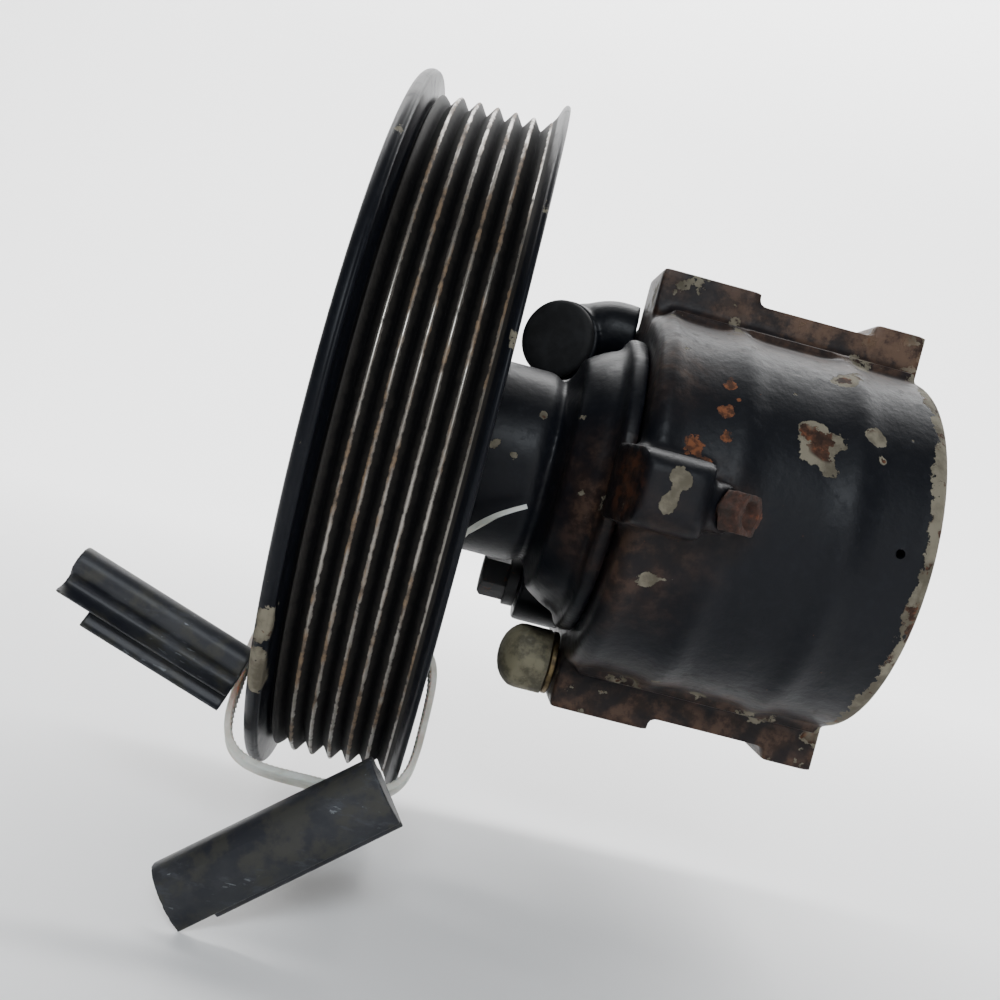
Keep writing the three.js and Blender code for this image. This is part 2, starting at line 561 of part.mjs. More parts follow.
place('shaft_spacer', ring(27, 33.7, SHAFT.front + GAP, 10, 20), STEEL);

place('pulley_rim', pulleyRim(), BARE_STEEL);
place('pulley_web', pulleyWeb(), BLACK_PAINT);
place('pulley_hub', pulleyHub(), BLACK_PAINT);
place('pulley_key', block(1.3, 9, -1.5, 1.5, 5.2, 8.3), STEEL);
place('pulley_washer', ring(-5.4, -3.6, SHAFT.nose + GAP, 10, 20), STEEL);
place('pulley_nut', cut(pushed(hexOutline(8.6), 'x', -12, -5.7),
  rod(-13, -5, SHAFT.nose + GAP, 16)), STEEL);
hubBolts().forEach(([y, z], i) => place(`pulley_bolt_${i + 1}`,
  hexScrew(-8.2, 4.6, 7.6, 5, 2.5, y, z), STEEL));

CASE_BOLTS.forEach(([y, z], i) => {
  const seat = i === 0 ? LOW_BOLT.seat : 33.2;
  const head = i === 0 ? LOW_BOLT.head : 4;
  const washer = i === 0 ? LOW_BOLT.washer : 1;
  place(`case_bolt_${i + 1}`, hexScrew(seat - GAP - washer - head, head, 46 - seat, i === 0 ? 5.2 : 4.2,
    2.6, y, z, washer), BLACK_PAINT);
});
COVER_SCREWS.forEach(([y, z], i) => {
  const screw = turned([[87.4, 0], [87.4, 2.2], [95, 2.2], [97.7, 3.9], [97.7, 0]], 12, y, z);
  const socket = pushed(hexOutline(1.8, y, z), 'x', 96, 99);
  place(`cover_screw_${i + 1}`, cut(screw, socket), STEEL);
});

place('lug_bolt', lugBolt(), RUSTY_IRON);
place('inlet_elbow', inletElbow(), BLACK_PAINT);
place('elbow_bung', mouthBung(), RUBBER);
place('relief_cap', reliefCap(), OLIVE);
place('relief_cap_washer', ring(CAP.x1 - 1.3, CAP.x1 - 0.1, 3.9, 6.8, 16, CAP.y, CAP.z), BRASS);
place('cable_tie', cableTie(), NYLON);
place('rail_shoe_1', railShoe(ROUNDED, LOW_STRIP), BLACK_PAINT);
place('rail_shoe_2', railShoe(BEADED, LEFT_STRIP), BLACK_PAINT);

export default supercharger;
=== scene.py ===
# %% [markdown]
# # A small belt-driven supercharger, used and rusty
# The finished picture has a ribbed belt pulley on the left, a cast drum on the right with its
# two square rails, and two pressed strips that hang from a cable tie at the pulley. All lengths
# below are in millimetres from the middle of the belt and become metres in the row frame.

# %% load the fixed frame
import json
import math

import bmesh
import bpy
import numpy as np
from mathutils import Matrix, Vector

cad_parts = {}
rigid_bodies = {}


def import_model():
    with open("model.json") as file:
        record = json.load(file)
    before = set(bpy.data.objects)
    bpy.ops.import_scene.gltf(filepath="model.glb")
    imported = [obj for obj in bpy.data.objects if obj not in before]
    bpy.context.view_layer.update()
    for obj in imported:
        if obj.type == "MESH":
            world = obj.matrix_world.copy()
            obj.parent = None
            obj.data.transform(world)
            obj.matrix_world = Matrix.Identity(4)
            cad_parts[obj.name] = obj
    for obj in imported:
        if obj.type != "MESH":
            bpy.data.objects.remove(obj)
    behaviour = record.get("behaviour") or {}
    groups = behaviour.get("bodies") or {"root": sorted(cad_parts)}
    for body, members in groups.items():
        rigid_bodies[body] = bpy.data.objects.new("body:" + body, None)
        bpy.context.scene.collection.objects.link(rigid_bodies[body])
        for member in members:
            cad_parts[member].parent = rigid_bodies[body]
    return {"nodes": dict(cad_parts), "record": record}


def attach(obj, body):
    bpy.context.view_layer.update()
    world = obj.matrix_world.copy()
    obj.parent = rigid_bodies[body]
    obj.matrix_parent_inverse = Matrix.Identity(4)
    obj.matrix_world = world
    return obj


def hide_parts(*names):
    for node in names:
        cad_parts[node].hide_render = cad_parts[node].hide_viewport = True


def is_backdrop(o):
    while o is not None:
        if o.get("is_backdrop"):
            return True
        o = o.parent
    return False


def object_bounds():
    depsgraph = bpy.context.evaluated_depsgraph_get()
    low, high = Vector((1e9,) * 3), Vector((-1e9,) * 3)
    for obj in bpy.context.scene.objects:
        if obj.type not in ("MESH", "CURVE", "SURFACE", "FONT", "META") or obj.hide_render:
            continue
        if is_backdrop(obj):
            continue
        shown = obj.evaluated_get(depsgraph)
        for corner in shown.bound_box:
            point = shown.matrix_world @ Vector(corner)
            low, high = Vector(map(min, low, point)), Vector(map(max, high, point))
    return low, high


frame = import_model()
CAD_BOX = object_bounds()
NODES = frame["nodes"]
MM = 0.001
REAR = 98.3          # station of the rear face
CENTRES = 42.0       # from the drive shaft to the driven shaft
scene = bpy.context.scene
print("CAD nodes:", len(NODES))

# %% [markdown]
# ## Small tools for shapes
# Most pieces here are turned on a lathe or cast from lathe shapes, so one function turns a
# profile and a second one pushes an outline. Joining and cutting is left to the boolean
# modifier. A cast piece is then rebuilt from small voxels and relaxed, which gives the soft
# fillets that a sand casting has where two shapes meet.

# %% shape tools
def point(x, y, z):
    """A point in millimetres from the middle of the belt, as metres in the row frame."""
    return Vector(((x - REAR) * MM, y * MM, z * MM))


def make(name, verts, faces):
    mesh = bpy.data.meshes.new(name)
    mesh.from_pydata([tuple(v) for v in verts], [], faces)
    bm = bmesh.new()
    bm.from_mesh(mesh)
    bmesh.ops.remove_doubles(bm, verts=bm.verts, dist=1e-7)
    bmesh.ops.recalc_face_normals(bm, faces=bm.faces)
    bm.to_mesh(mesh)
    bm.free()
    thing = bpy.data.objects.new(name, mesh)
    scene.collection.objects.link(thing)
    return thing


def turned(name, profile, y=0, z=0, segments=160):
    """Turns [station, radius] points about the X axis; ends that reach radius 0 close up."""
    closed = profile[0][1] > 0
    verts, faces = [], []
    for x, r in profile:
        for k in range(segments):
            a = 2 * math.pi * k / segments
            verts.append(point(x, y + r * math.cos(a), z + r * math.sin(a)))
    rows = len(profile)
    for i in range(rows if closed else rows - 1):
        j = (i + 1) % rows
        for k in range(segments):
            m = (k + 1) % segments
            faces.append((i * segments + k, i * segments + m, j * segments + m,
                          j * segments + k))
    return make(name, verts, faces)


def skin(n, rows):
    """Faces of a closed tube through rows of n points each, with a flat face on both ends."""
    faces = [tuple(range(n)), tuple(range(rows * n - 1, (rows - 1) * n - 1, -1))]
    return faces + [(s * n + i, s * n + (i + 1) % n, (s + 1) * n + (i + 1) % n, (s + 1) * n + i)
                    for s in range(rows - 1) for i in range(n)]


def pushed(name, outline, axis, start, end):
    """Pushes an outline of (u, v) points along one axis: 'x' takes (y, z), 'z' takes (x, y)."""
    spots = {"x": lambda u, v, w: point(w, u, v), "z": lambda u, v, w: point(u, v, w)}[axis]
    verts = [spots(u, v, w) for w in (start, end) for u, v in outline]
    return make(name, verts, skin(len(outline), 2))


def block(name, x0, x1, y0, y1, z0, z1):
    return pushed(name, [(x0, y0), (x1, y0), (x1, y1), (x0, y1)], "z", z0, z1)


def rod(name, x0, x1, r, y=0, z=0, segments=64):
    return turned(name, [(x0, 0), (x0, r), (x1, r), (x1, 0)], y, z, segments)


def settle(thing):
    """Turns what the modifiers make into a plain mesh and removes them."""
    bpy.context.view_layer.update()
    graph = bpy.context.evaluated_depsgraph_get()
    mesh = bpy.data.meshes.new_from_object(thing.evaluated_get(graph))
    old = thing.data
    thing.modifiers.clear()
    thing.data = mesh
    bpy.data.meshes.remove(old)
    return thing


def combine(thing, others, operation):
    for other in others:
        step = thing.modifiers.new(operation, "BOOLEAN")
        step.operation, step.solver, step.object = operation, "MANIFOLD", other
    settle(thing)
    for other in others:
        bpy.data.objects.remove(other)
    return thing


def join(thing, *others):
    return combine(thing, others, "UNION")


def cut(thing, *others):
    return combine(thing, others, "DIFFERENCE")


def cast(thing, voxel, rounds):
    """Rebuilds a piece from voxels of this size in mm and relaxes it into soft fillets."""
    grid = thing.modifiers.new("voxels", "REMESH")
    grid.mode, grid.voxel_size = "VOXEL", voxel * MM
    relax = thing.modifiers.new("relax", "SMOOTH")
    relax.factor, relax.iterations = 0.5, rounds
    return settle(thing)


def bevelled(thing, width, angle=35, segments=2):
    edge = thing.modifiers.new("bevel", "BEVEL")
    edge.width, edge.segments, edge.limit_method = width * MM, segments, "ANGLE"
    edge.angle_limit = math.radians(angle)
    return settle(thing)


def smooth(thing, angle=35):
    thing.data.polygons.foreach_set("use_smooth", [True] * len(thing.data.polygons))
    thing.data.set_sharp_from_angle(angle=math.radians(angle))
    return thing


def put(thing, body, material, nodes=(), angle=35):
    """Gives a piece its finish and its body, and hides the CAD nodes it stands for."""
    if material is not None:
        thing.data.materials.clear()
        thing.data.materials.append(material)
    smooth(thing, angle)
    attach(thing, body)
    if nodes:
        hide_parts(*nodes)
        mine = [v.co for v in thing.data.vertices]
        theirs = [v.co for n in nodes for v in NODES[n].data.vertices]
        off = max(max(abs(f(v[i] for v in mine) - f(v[i] for v in theirs)) for f in (min, max))
                  for i in range(3))
        print(f"{thing.name}: {len(thing.data.polygons)} faces, box off by {off / MM:.2f} mm")
    return thing


# %% [markdown]
# ## Shader arithmetic
# A procedural finish is mostly arithmetic on noise and on places. The class wraps one output
# socket so that masks can be written as formulas, and its one method adds any other node.

# %% the socket class
class Value:
    def __init__(self, tree, socket):
        self.tree, self.socket = tree, socket

    def node(self, kind, settings, *inputs, out=0):
        new = self.tree.nodes.new(kind)
        for key, setting in settings.items():
            setattr(new, key, setting)
        for i, given in enumerate(inputs):
            if isinstance(given, Value):
                self.tree.links.new(given.socket, new.inputs[i])
            elif given is not None:
                new.inputs[i].default_value = given
        return Value(self.tree, new.outputs[out])

    def math(self, operation, *inputs, clamp=False):
        return self.node("ShaderNodeMath", {"operation": operation, "use_clamp": clamp}, *inputs)

    def __add__(self, other):
        return self.math("ADD", self, other)

    def __mul__(self, other):
        return self.math("MULTIPLY", self, other)

    def __sub__(self, other):
        return self.math("SUBTRACT", self, other)

    def __rsub__(self, other):
        return self.math("SUBTRACT", other, self)

    __radd__, __rmul__ = __add__, __mul__

    def most(self, other):
        return self.math("MAXIMUM", self, other)

    def least(self, other):
        return self.math("MINIMUM", self, other)

    def step(self, low, high):
        """0 below low, 1 above high, with an eased slope between; low above high turns it."""
        return self.node("ShaderNodeMapRange", {"interpolation_type": "SMOOTHSTEP"},
                         self, low, high, 0.0, 1.0)

    def noise(self, scale, detail=4.0, rough=0.55):
        """Noise at this place, with scale in features per metre."""
        return self.node("ShaderNodeTexNoise", {}, self, None, scale, detail, rough)

    def stretched(self, x, y, z):
        return self.node("ShaderNodeVectorMath", {"operation": "MULTIPLY"}, self, (x, y, z))

    def near(self, where, reach):
        """1 at a point and 0 from reach mm away, as a soft hill."""
        far = self.node("ShaderNodeVectorMath", {"operation": "DISTANCE"}, self,
                        tuple(where), out=1)
        return far.step(reach * MM, 0.0)

    def parts(self):
        first = self.node("ShaderNodeSeparateXYZ", {}, self)
        outs = first.socket.node.outputs
        return [Value(self.tree, outs[i]) for i in range(3)]

    def mix(self, first, second):
        """A colour between two others, with this value as the share of the second."""
        new = self.tree.nodes.new("ShaderNodeMix")
        new.data_type = "RGBA"
        for i, given in ((0, self), (6, first), (7, second)):
            if isinstance(given, Value):
                self.tree.links.new(given.socket, new.inputs[i])
            else:
                new.inputs[i].default_value = (*given, 1.0)
        return Value(self.tree, new.outputs[2])


def blended(share, first, second):
    """A number between two others."""
    return first + share * (second - first)


def finish(name, build):
    """Makes a material. build takes the place and returns what goes on the surface."""
    material = bpy.data.materials.new(name)
    material.use_nodes = True
    tree = material.node_tree
    tree.nodes.clear()
    surface = tree.nodes.new("ShaderNodeBsdfPrincipled")
    out = tree.nodes.new("ShaderNodeOutputMaterial")
    tree.links.new(surface.outputs[0], out.inputs[0])
    coords = tree.nodes.new("ShaderNodeTexCoord")
    place = Value(tree, coords.outputs["Object"])
    values = build(place)
    height, depth = values.pop("height", None), values.pop("depth", 0.0)
    if height is not None:
        bump = tree.nodes.new("ShaderNodeBump")
        bump.inputs["Distance"].default_value = depth * MM
        bump.inputs["Strength"].default_value = 1.0
        tree.links.new(height.socket, bump.inputs["Height"])
        tree.links.new(bump.outputs[0], surface.inputs["Normal"])
    for key, given in values.items():
        if isinstance(given, Value):
            tree.links.new(given.socket, surface.inputs[key])
        else:
            surface.inputs[key].default_value = (
                (*given, 1.0) if hasattr(given, "__len__") else given)
    return material


# %% [markdown]
# ## Chipped paint
# The whole casting has the same history: bare iron, a beige primer, then black paint, and years
# of damp. One wear level stands for all three layers. Where it is a little high the paint is
# gone and the primer shows. Where it is higher still the primer may be gone too, and the iron
# has rusted; a second noise decides how far, so some chips stay beige and others turn brown.
# Where wear is likelier, such as on edges and rails, the level is raised by a term of the place.

# %% the paint and its layers
PAINT = (0.0034, 0.0041, 0.0062)
PAINT_DUSTY = (0.0090, 0.0100, 0.0130)
PRIMER = (0.155, 0.140, 0.105)
PRIMER_DIRTY = (0.075, 0.066, 0.048)
RUST_DARK = (0.022, 0.0125, 0.0090)
RUST_BROWN = (0.050, 0.0240, 0.0150)
RUST_ORANGE = (0.115, 0.042, 0.020)
RUST_FILM = (0.062, 0.036, 0.024)
SPOT_ORANGE = (0.150, 0.056, 0.026)
TOP, UNDER = 0.665, 0.705    # wear levels at which the paint and then the primer are gone


def layers(place, wear, gloss=0.42, grain=1.0, rust=0.0):
    """Paint over primer over rust for a wear level; rust is a share of extra staining."""
    fine = place.noise(1900.0, 3.0, 0.6)
    mottle = place.noise(160.0, 5.0, 0.6)
    dust = place.noise(420.0, 6.0, 0.7).step(0.50, 0.74)
    level = wear + (fine - 0.5) * 0.035
    deeper = level + (place.noise(310.0, 5.0, 0.6) - 0.5) * 0.26
    bare, gone = level.step(TOP, TOP + 0.008), deeper.step(UNDER, UNDER + 0.012)
    gone = gone * bare * place.noise(75.0, 2.0, 0.5).step(0.46, 0.50)
    paint = (dust * 0.55).mix(PAINT, PAINT_DUSTY)
    film = place.noise(330.0, 6.0, 0.65)
    stained = film.step(0.42, 0.62).mix(RUST_DARK, RUST_FILM)
    paint = ((mottle.step(0.40, 0.58) * 0.65 + 0.35) * rust).mix(paint, stained)
    primer = mottle.step(0.40, 0.62).mix(PRIMER, PRIMER_DIRTY)
    iron = place.noise(520.0, 6.0, 0.65)
    rusty = iron.step(0.40, 0.58).mix(RUST_DARK, RUST_BROWN)
    rusty = (iron.step(0.54, 0.64) * 0.8).mix(rusty, RUST_ORANGE)
    colour = gone.mix(bare.mix(paint, primer), rusty)
    rough = blended(bare, gloss + 0.16 * dust + 0.10 * mottle, 0.80)
    cast_grain = place.noise(900.0, 4.0, 0.6) * 0.35 + place.noise(260.0, 3.0, 0.5) * 0.9
    height = (cast_grain * grain - bare * 0.45 - gone * 0.5
              + gone * iron * 0.9)
    return {"Base Color": colour, "Roughness": rough, "Metallic": 0.0, "height": height,
            "depth": 0.16, "Specular IOR Level": 0.15}


# %% [markdown]
# ## Where the casting is worn
# The drum has one big chip on its right half, a row of small rusty spots above the lug, and a
# band of bare primer along the rear edge. Each chip is a hill added to the wear level at one
# place on the surface, and the noise breaks its outline up. The spots use a finer noise of
# their own and go straight to orange rust, because the primer is thin there.

# %% the drum's finish
CHIPS = [  # station, y, z, reach and strength of each larger chip on the drum
    (72.6, -33.6, 16.6, 7.5, 0.17), (76.8, -35.6, 11.8, 4.6, 0.15),
    (70.6, -31.6, 20.2, 4.0, 0.15), (83.3, -31.2, 21.3, 4.2, 0.25),
    (78.0, -21.0, 31.0, 5.0, 0.20), (46.6, -24.0, 28.8, 5.0, 0.14),
    (47.6, -34.6, -14.4, 4.0, 0.15), (67.2, -27.3, 25.7, 2.6, 0.13),
    (52.0, -35.0, -14.0, 4.0, 0.13), (46.5, -46.5, 4.0, 4.2, 0.21),
    (45.5, -47.0, -0.5, 3.6, 0.19), (84.6, -33.4, 17.2, 2.6, 0.16),
    (90.5, -30.0, 22.6, 2.4, 0.15), (47.0, -18.0, 33.0, 5.0, 0.13)]
SPOTS = [  # the same for the small rusty spots above the lug
    (54.6, -29.0, 23.8, 2.6, 0.22), (54.4, -32.5, 18.8, 3.0, 0.24), (55.2, -34.8, 14.0, 2.2, 0.22),
    (49.9, -35.9, 11.0, 3.8, 0.22), (56.6, -30.8, 21.0, 1.4, 0.20), (52.8, -36.2, 8.6, 1.6, 0.20)]


def drum_finish(place):
    x, y, z = place.parts()
    coarse = place.noise(105.0, 7.0, 0.62)
    wear = 0.30 + 0.50 * coarse
    for cx, cy, cz, reach, strength in CHIPS:
        wear = wear + strength * place.near(point(cx, cy, cz), reach)
    high = z.math("ABSOLUTE", z)
    on_rail = high.step(37.5 * MM, 42.0 * MM)
    patches = place.noise(70.0, 5.0, 0.6)
    wear = wear + on_rail * (0.02 + 0.10 * patches.step(0.45, 0.60))
    under_rail = high.step(30.0 * MM, 38.0 * MM) * (1.0 - on_rail)
    wear = wear + under_rail * 0.07
    # a ragged band of primer along the rear edge
    ragged = (place.noise(200.0, 6.0, 0.7) - 0.5) * 9.0 * MM
    rear = (x + ragged).step(-3.6 * MM, -2.9 * MM) * (1.0 - on_rail * 0.7)
    wear = (wear + rear * 0.16).least(blended(rear, 1.0, UNDER - 0.02))
    # the lug's sloping seat and the ground round its bolt
    seat = place.near(point(38.5, -41.0, 1.3), 8.5)
    wear = wear + seat * 0.06 + place.near(point(56.0, -39.5, 0.6), 6.0) * 0.16
    foot = place.near(point(42.0, -33.0, -10.0), 24.0).most(
        place.near(point(42.0, -26.0, 24.0), 16.0) * 0.8)
    dark_patch = place.near(point(48.0, -1.0, 46.0), 9.0) * 0.8
    stain = ((on_rail - dark_patch).most(under_rail * 0.8).most(foot * 0.8)
             .most(place.near(point(56.0, -36.0, 0.0), 12.0) * 0.6).most(seat * 1.5))
    surface = layers(place, wear, 0.40, 1.0, stain)
    fleck = place.noise(520.0, 6.0, 0.7) * 0.55 + 0.20
    for cx, cy, cz, reach, strength in SPOTS:
        fleck = fleck + strength * place.near(point(cx, cy, cz), reach)
    spotted = fleck.step(0.585, 0.60)
    orange = place.noise(700.0, 4.0, 0.6).step(0.40, 0.60).mix(RUST_BROWN, SPOT_ORANGE)
    surface["Base Color"] = spotted.mix(surface["Base Color"], orange)
    streaks = place.stretched(1.6, 0.5, 1.0).noise(420.0, 5.0, 0.65).step(0.44, 0.60)
    surface["Base Color"] = (seat.step(0.0, 0.5) * streaks * 0.7).mix(
        surface["Base Color"], (0.085, 0.034, 0.018))
    light_rust = on_rail * z.step(0.0, 10 * MM) * x.step(-46 * MM, -30 * MM)
    light_rust = light_rust * place.noise(140.0, 6.0, 0.65).step(0.42, 0.58)
    surface["Base Color"] = (light_rust * 0.8).mix(surface["Base Color"], (0.105, 0.062, 0.040))
    surface["Roughness"] = blended(spotted, surface["Roughness"], 0.85)
    return surface


cast_paint = finish("worn_black_casting", drum_finish)
print("casting nodes:", len(cast_paint.node_tree.nodes))

# %% [markdown]
# ## The other painted pieces
# The gear case keeps more of its paint, with small beige chips on the snout and brown stains
# towards the lug. The pulley's press-formed metal is smoother and shinier, so its cast grain is
# turned down. The two strips are scuffed along their length, which is the same paint with
# stretched noise.

# %% gear case, cover, pulley paint and strips
SNOUT_CHIPS = [  # station, y, z, reach and strength of each larger chip on the snout
    (23.6, -17.4, 10.3, 2.6, 0.15), (19.5, -20.0, 1.2, 3.4, 0.15), (16.0, -20.0, 2.4, 3.4, 0.17),
    (31.0, -22.0, 11.0, 2.6, 0.12)]


def gear_case_finish(place):
    wear = 0.29 + 0.50 * place.noise(130.0, 7.0, 0.62)
    for cx, cy, cz, reach, strength in SNOUT_CHIPS:
        wear = wear + strength * place.near(point(cx, cy, cz), reach)
    stain = place.near(point(41.0, -31.0, -4.0), 22.0)
    wear = wear + stain * 0.10
    return layers(place, wear, 0.36, 0.7, stain)


def pulley_finish(place):
    wear = (0.27 + 0.50 * place.noise(150.0, 7.0, 0.62)).least(UNDER - 0.02)
    return layers(place, wear, 0.34, 0.25)


def cover_finish(place):
    wear = 0.29 + 0.52 * place.noise(120.0, 7.0, 0.62)
    damp = place.noise(60.0, 5.0, 0.6).step(0.42, 0.62)
    return layers(place, wear + damp * 0.05, 0.42, 0.9, damp * 0.6)


def strip_finish(place):
    scuff = place.stretched(0.25, 1.0, 1.0).noise(700.0, 6.0, 0.7)
    wide = place.noise(95.0, 5.0, 0.6)
    worn = (scuff * 0.7 + wide * 0.45).step(0.60, 0.72)
    scratch = place.stretched(0.16, 1.0, 0.6).noise(1500.0, 4.0, 0.6).step(0.64, 0.67)
    scratch = scratch * wide.step(0.50, 0.62)
    body = wide.step(0.35, 0.65).mix((0.0090, 0.0100, 0.0140), (0.0200, 0.0212, 0.0240))
    olive = place.noise(230.0, 5.0, 0.6).step(0.46, 0.62)
    body = (olive * 0.7).mix(body, (0.030, 0.029, 0.0225))
    colour = scratch.mix(worn.mix(body, (0.036, 0.038, 0.044)), (0.15, 0.16, 0.17))
    rough = 0.44 + 0.16 * worn + 0.08 * wide
    height = place.noise(1100.0, 3.0, 0.5) * 0.3 - worn * 0.2 - scratch * 0.5
    return {"Base Color": colour, "Roughness": rough, "Metallic": scratch * 0.8 + worn * 0.2,
            "height": height, "depth": 0.08, "Specular IOR Level": 0.30}


case_paint = finish("black_gear_case", gear_case_finish)
pulley_paint = finish("satin_black_pulley", pulley_finish)
cover_paint = finish("black_cover", cover_finish)
shoe_paint = finish("scuffed_strip", strip_finish)

# %% [markdown]
# ## The rim's bare crests
# The belt rubs the paint off the rib crests and leaves dull steel, and where the pulley has
# stood still the steel has gone brown. The crest mask is the distance from the shaft's axis, so
# it follows every rib. The flanges keep their paint, apart from chips along the outer edge.

# %% the ribbed rim's finish
BELT = {"ribs": 6, "pitch": 3.56, "depth": 2.6, "crest": 67.3, "shoulder": 66.8}
RIM = {"left": -15.05, "right": 13.4, "outer": 71.0, "inner": 60.0, "land": 5.2}


FLANGE_CHIPS = [  # station, y, z, reach and strength of each chip on the flanges
    (-13.0, -53.5, 46.6, 4.5, 0.12), (-12.8, -59.2, -39.2, 10.0, 0.17),
    (-13.0, -54.5, -45.5, 7.0, 0.14), (13.0, -58.7, 40.0, 3.6, 0.13),
    (-13.2, -67.8, 20.9, 4.0, 0.08), (13.0, -69.0, 17.0, 3.6, 0.11),
    (13.0, -64.0, -31.0, 4.0, 0.10), (-13.0, -62.0, -34.0, 6.0, 0.13)]


def rim_finish(place):
    x, y, z = place.parts()
    radius = (y * y + z * z).math("SQRT", y * y + z * z)
    half = BELT["ribs"] * BELT["pitch"] / 2
    in_belt = (x.step((-half - 0.9 - REAR) * MM, (-half - 0.6 - REAR) * MM)
               * x.step((half + 0.9 - REAR) * MM, (half + 0.6 - REAR) * MM))
    on_crest = x.step((half + 0.12 - REAR) * MM, (half - 0.05 - REAR) * MM) * in_belt
    ragged = place.noise(600.0, 5.0, 0.65)
    bare = (radius + (ragged - 0.5) * 0.0010).step(66.98 * MM, 67.22 * MM) * on_crest
    # painted shade in the belt grooves: a ramp by radius, darkest at the groove root and greyer up
    # the flanks towards the crest
    flank_grey_painted_light = (radius + (ragged - 0.5) * 0.002).step(65.4 * MM, 66.9 * MM) * in_belt
    long_rust = place.stretched(1.9, 0.45, 0.45).noise(150.0, 5.0, 0.6)
    rusty = long_rust.step(0.46, 0.58)
    steel = place.noise(900.0, 4.0, 0.6).mix((0.17, 0.158, 0.138), (0.31, 0.29, 0.26))
    brown = ragged.step(0.42, 0.62).mix((0.060, 0.038, 0.022), (0.150, 0.094, 0.048))
    crest = (rusty * 0.82).mix(steel, brown)
    wear = 0.27 + 0.50 * place.noise(125.0, 7.0, 0.62)
    wear = wear + radius.step(69.6 * MM, 70.9 * MM) * 0.04
    for cx, cy, cz, reach, strength in FLANGE_CHIPS:
        wear = wear + strength * place.near(point(cx, cy, cz), reach)
    wear = (wear + (place.noise(420.0, 6.0, 0.7) - 0.5) * 0.30).least(TOP + 0.02)
    painted = layers(place, wear, 0.32, 0.2)
    # the grooves' black paint, drawn darker than the paint elsewhere as painted shade, rising to a
    # grey band near the crest
    groove = (0.0022, 0.0022, 0.0026)
    band = flank_grey_painted_light.mix(groove, (0.016, 0.0145, 0.013))
    colour = in_belt.mix(painted["Base Color"], bare.mix(band, crest))
    rough = blended(in_belt, painted["Roughness"], blended(bare, 0.62, 0.30 + 0.28 * rusty))
    metal = bare * (0.92 - 0.62 * rusty)
    height = painted["height"] + bare * ragged * 0.8
    return {"Base Color": colour, "Roughness": rough, "Metallic": metal, "height": height,
            "depth": 0.07, "Specular IOR Level": 0.12}


rim_paint = finish("rim_with_bare_crests", rim_finish)

# %% [markdown]
# ## Plain metals, rubber and plastic
# The small parts need less: turned steel with fine rings and a little rust, zinc with a cloudy
# dull bloom, the rusted bolt with thick flaking scale, rubber with a dusty bloom and yellowed
# nylon. A pattern of rings uses the distance from the shaft, so they come out concentric.

# %% the small parts' finishes
def steel_finish(place):
    cloud = place.noise(240.0, 5.0, 0.6)
    rings = place.stretched(14.0, 1.0, 1.0).noise(420.0, 3.0, 0.6)
    spots = place.noise(600.0, 6.0, 0.7).step(0.60, 0.66)
    colour = spots.mix(cloud.mix((0.36, 0.36, 0.37), (0.56, 0.56, 0.55)), (0.15, 0.075, 0.04))
    return {"Base Color": colour, "Roughness": 0.26 + 0.22 * rings + 0.3 * spots,
            "Metallic": 0.95 - 0.7 * spots, "height": rings - spots * 0.5, "depth": 0.03}


def zinc_finish(place):
    cloud = place.noise(520.0, 6.0, 0.7)
    white = cloud.step(0.55, 0.68)
    rust = place.noise(330.0, 6.0, 0.7).step(0.57, 0.64)
    colour = rust.mix(white.mix((0.27, 0.265, 0.25), (0.46, 0.46, 0.44)), (0.14, 0.07, 0.035))
    return {"Base Color": colour, "Roughness": 0.40 + 0.25 * white + 0.25 * rust,
            "Metallic": 0.9 - 0.35 * white - 0.5 * rust, "height": cloud, "depth": 0.05}


def rotor_finish(place):
    lines = place.stretched(0.15, 1.0, 1.0).noise(900.0, 4.0, 0.6)
    soot = place.noise(120.0, 6.0, 0.65).step(0.45, 0.64)
    colour = soot.mix((0.50, 0.50, 0.49), (0.15, 0.14, 0.125))
    return {"Base Color": colour, "Roughness": 0.30 + 0.25 * lines + 0.2 * soot,
            "Metallic": 0.9 - 0.4 * soot, "height": lines, "depth": 0.03}


def rusty_bolt_finish(place):
    scale = place.noise(480.0, 7.0, 0.7)
    flakes = place.node("ShaderNodeTexVoronoi", {}, place, None, 900.0)
    colour = scale.step(0.38, 0.56).mix(RUST_DARK, (0.046, 0.019, 0.012))
    colour = scale.step(0.57, 0.66).mix(colour, (0.115, 0.037, 0.017))
    return {"Base Color": colour, "Roughness": 0.82 + 0.1 * scale, "Metallic": 0.1,
            "height": scale * 1.4 + flakes * 0.5, "depth": 0.22}


def black_bolt_finish(place):
    cloud = place.noise(300.0, 6.0, 0.65)
    rust = place.noise(420.0, 6.0, 0.7).step(0.58, 0.64)
    colour = rust.mix(cloud.mix((0.010, 0.010, 0.011), (0.026, 0.026, 0.028)), RUST_BROWN)
    return {"Base Color": colour, "Roughness": 0.45 + 0.2 * cloud + 0.2 * rust,
            "Metallic": 0.3 - 0.2 * rust, "height": cloud - rust * 0.3, "depth": 0.06}


def cap_finish(place):
    dirt = place.noise(210.0, 6.0, 0.65)
    worn = place.noise(90.0, 5.0, 0.6)
    colour = dirt.step(0.42, 0.62).mix((0.130, 0.117, 0.072), (0.052, 0.046, 0.028))
    colour = worn.step(0.58, 0.68).mix(colour, (0.185, 0.170, 0.122))
    return {"Base Color": colour, "Roughness": 0.62 + 0.2 * dirt, "Metallic": 0.0,
            "height": dirt + place.noise(1200.0, 3.0, 0.5) * 0.3, "depth": 0.12}


def brass_finish(place):
    cloud = place.noise(500.0, 5.0, 0.6)
    colour = cloud.step(0.4, 0.65).mix((0.17, 0.125, 0.060), (0.07, 0.052, 0.030))
    return {"Base Color": colour, "Roughness": 0.35 + 0.3 * cloud, "Metallic": 0.85,
            "height": cloud, "depth": 0.03}


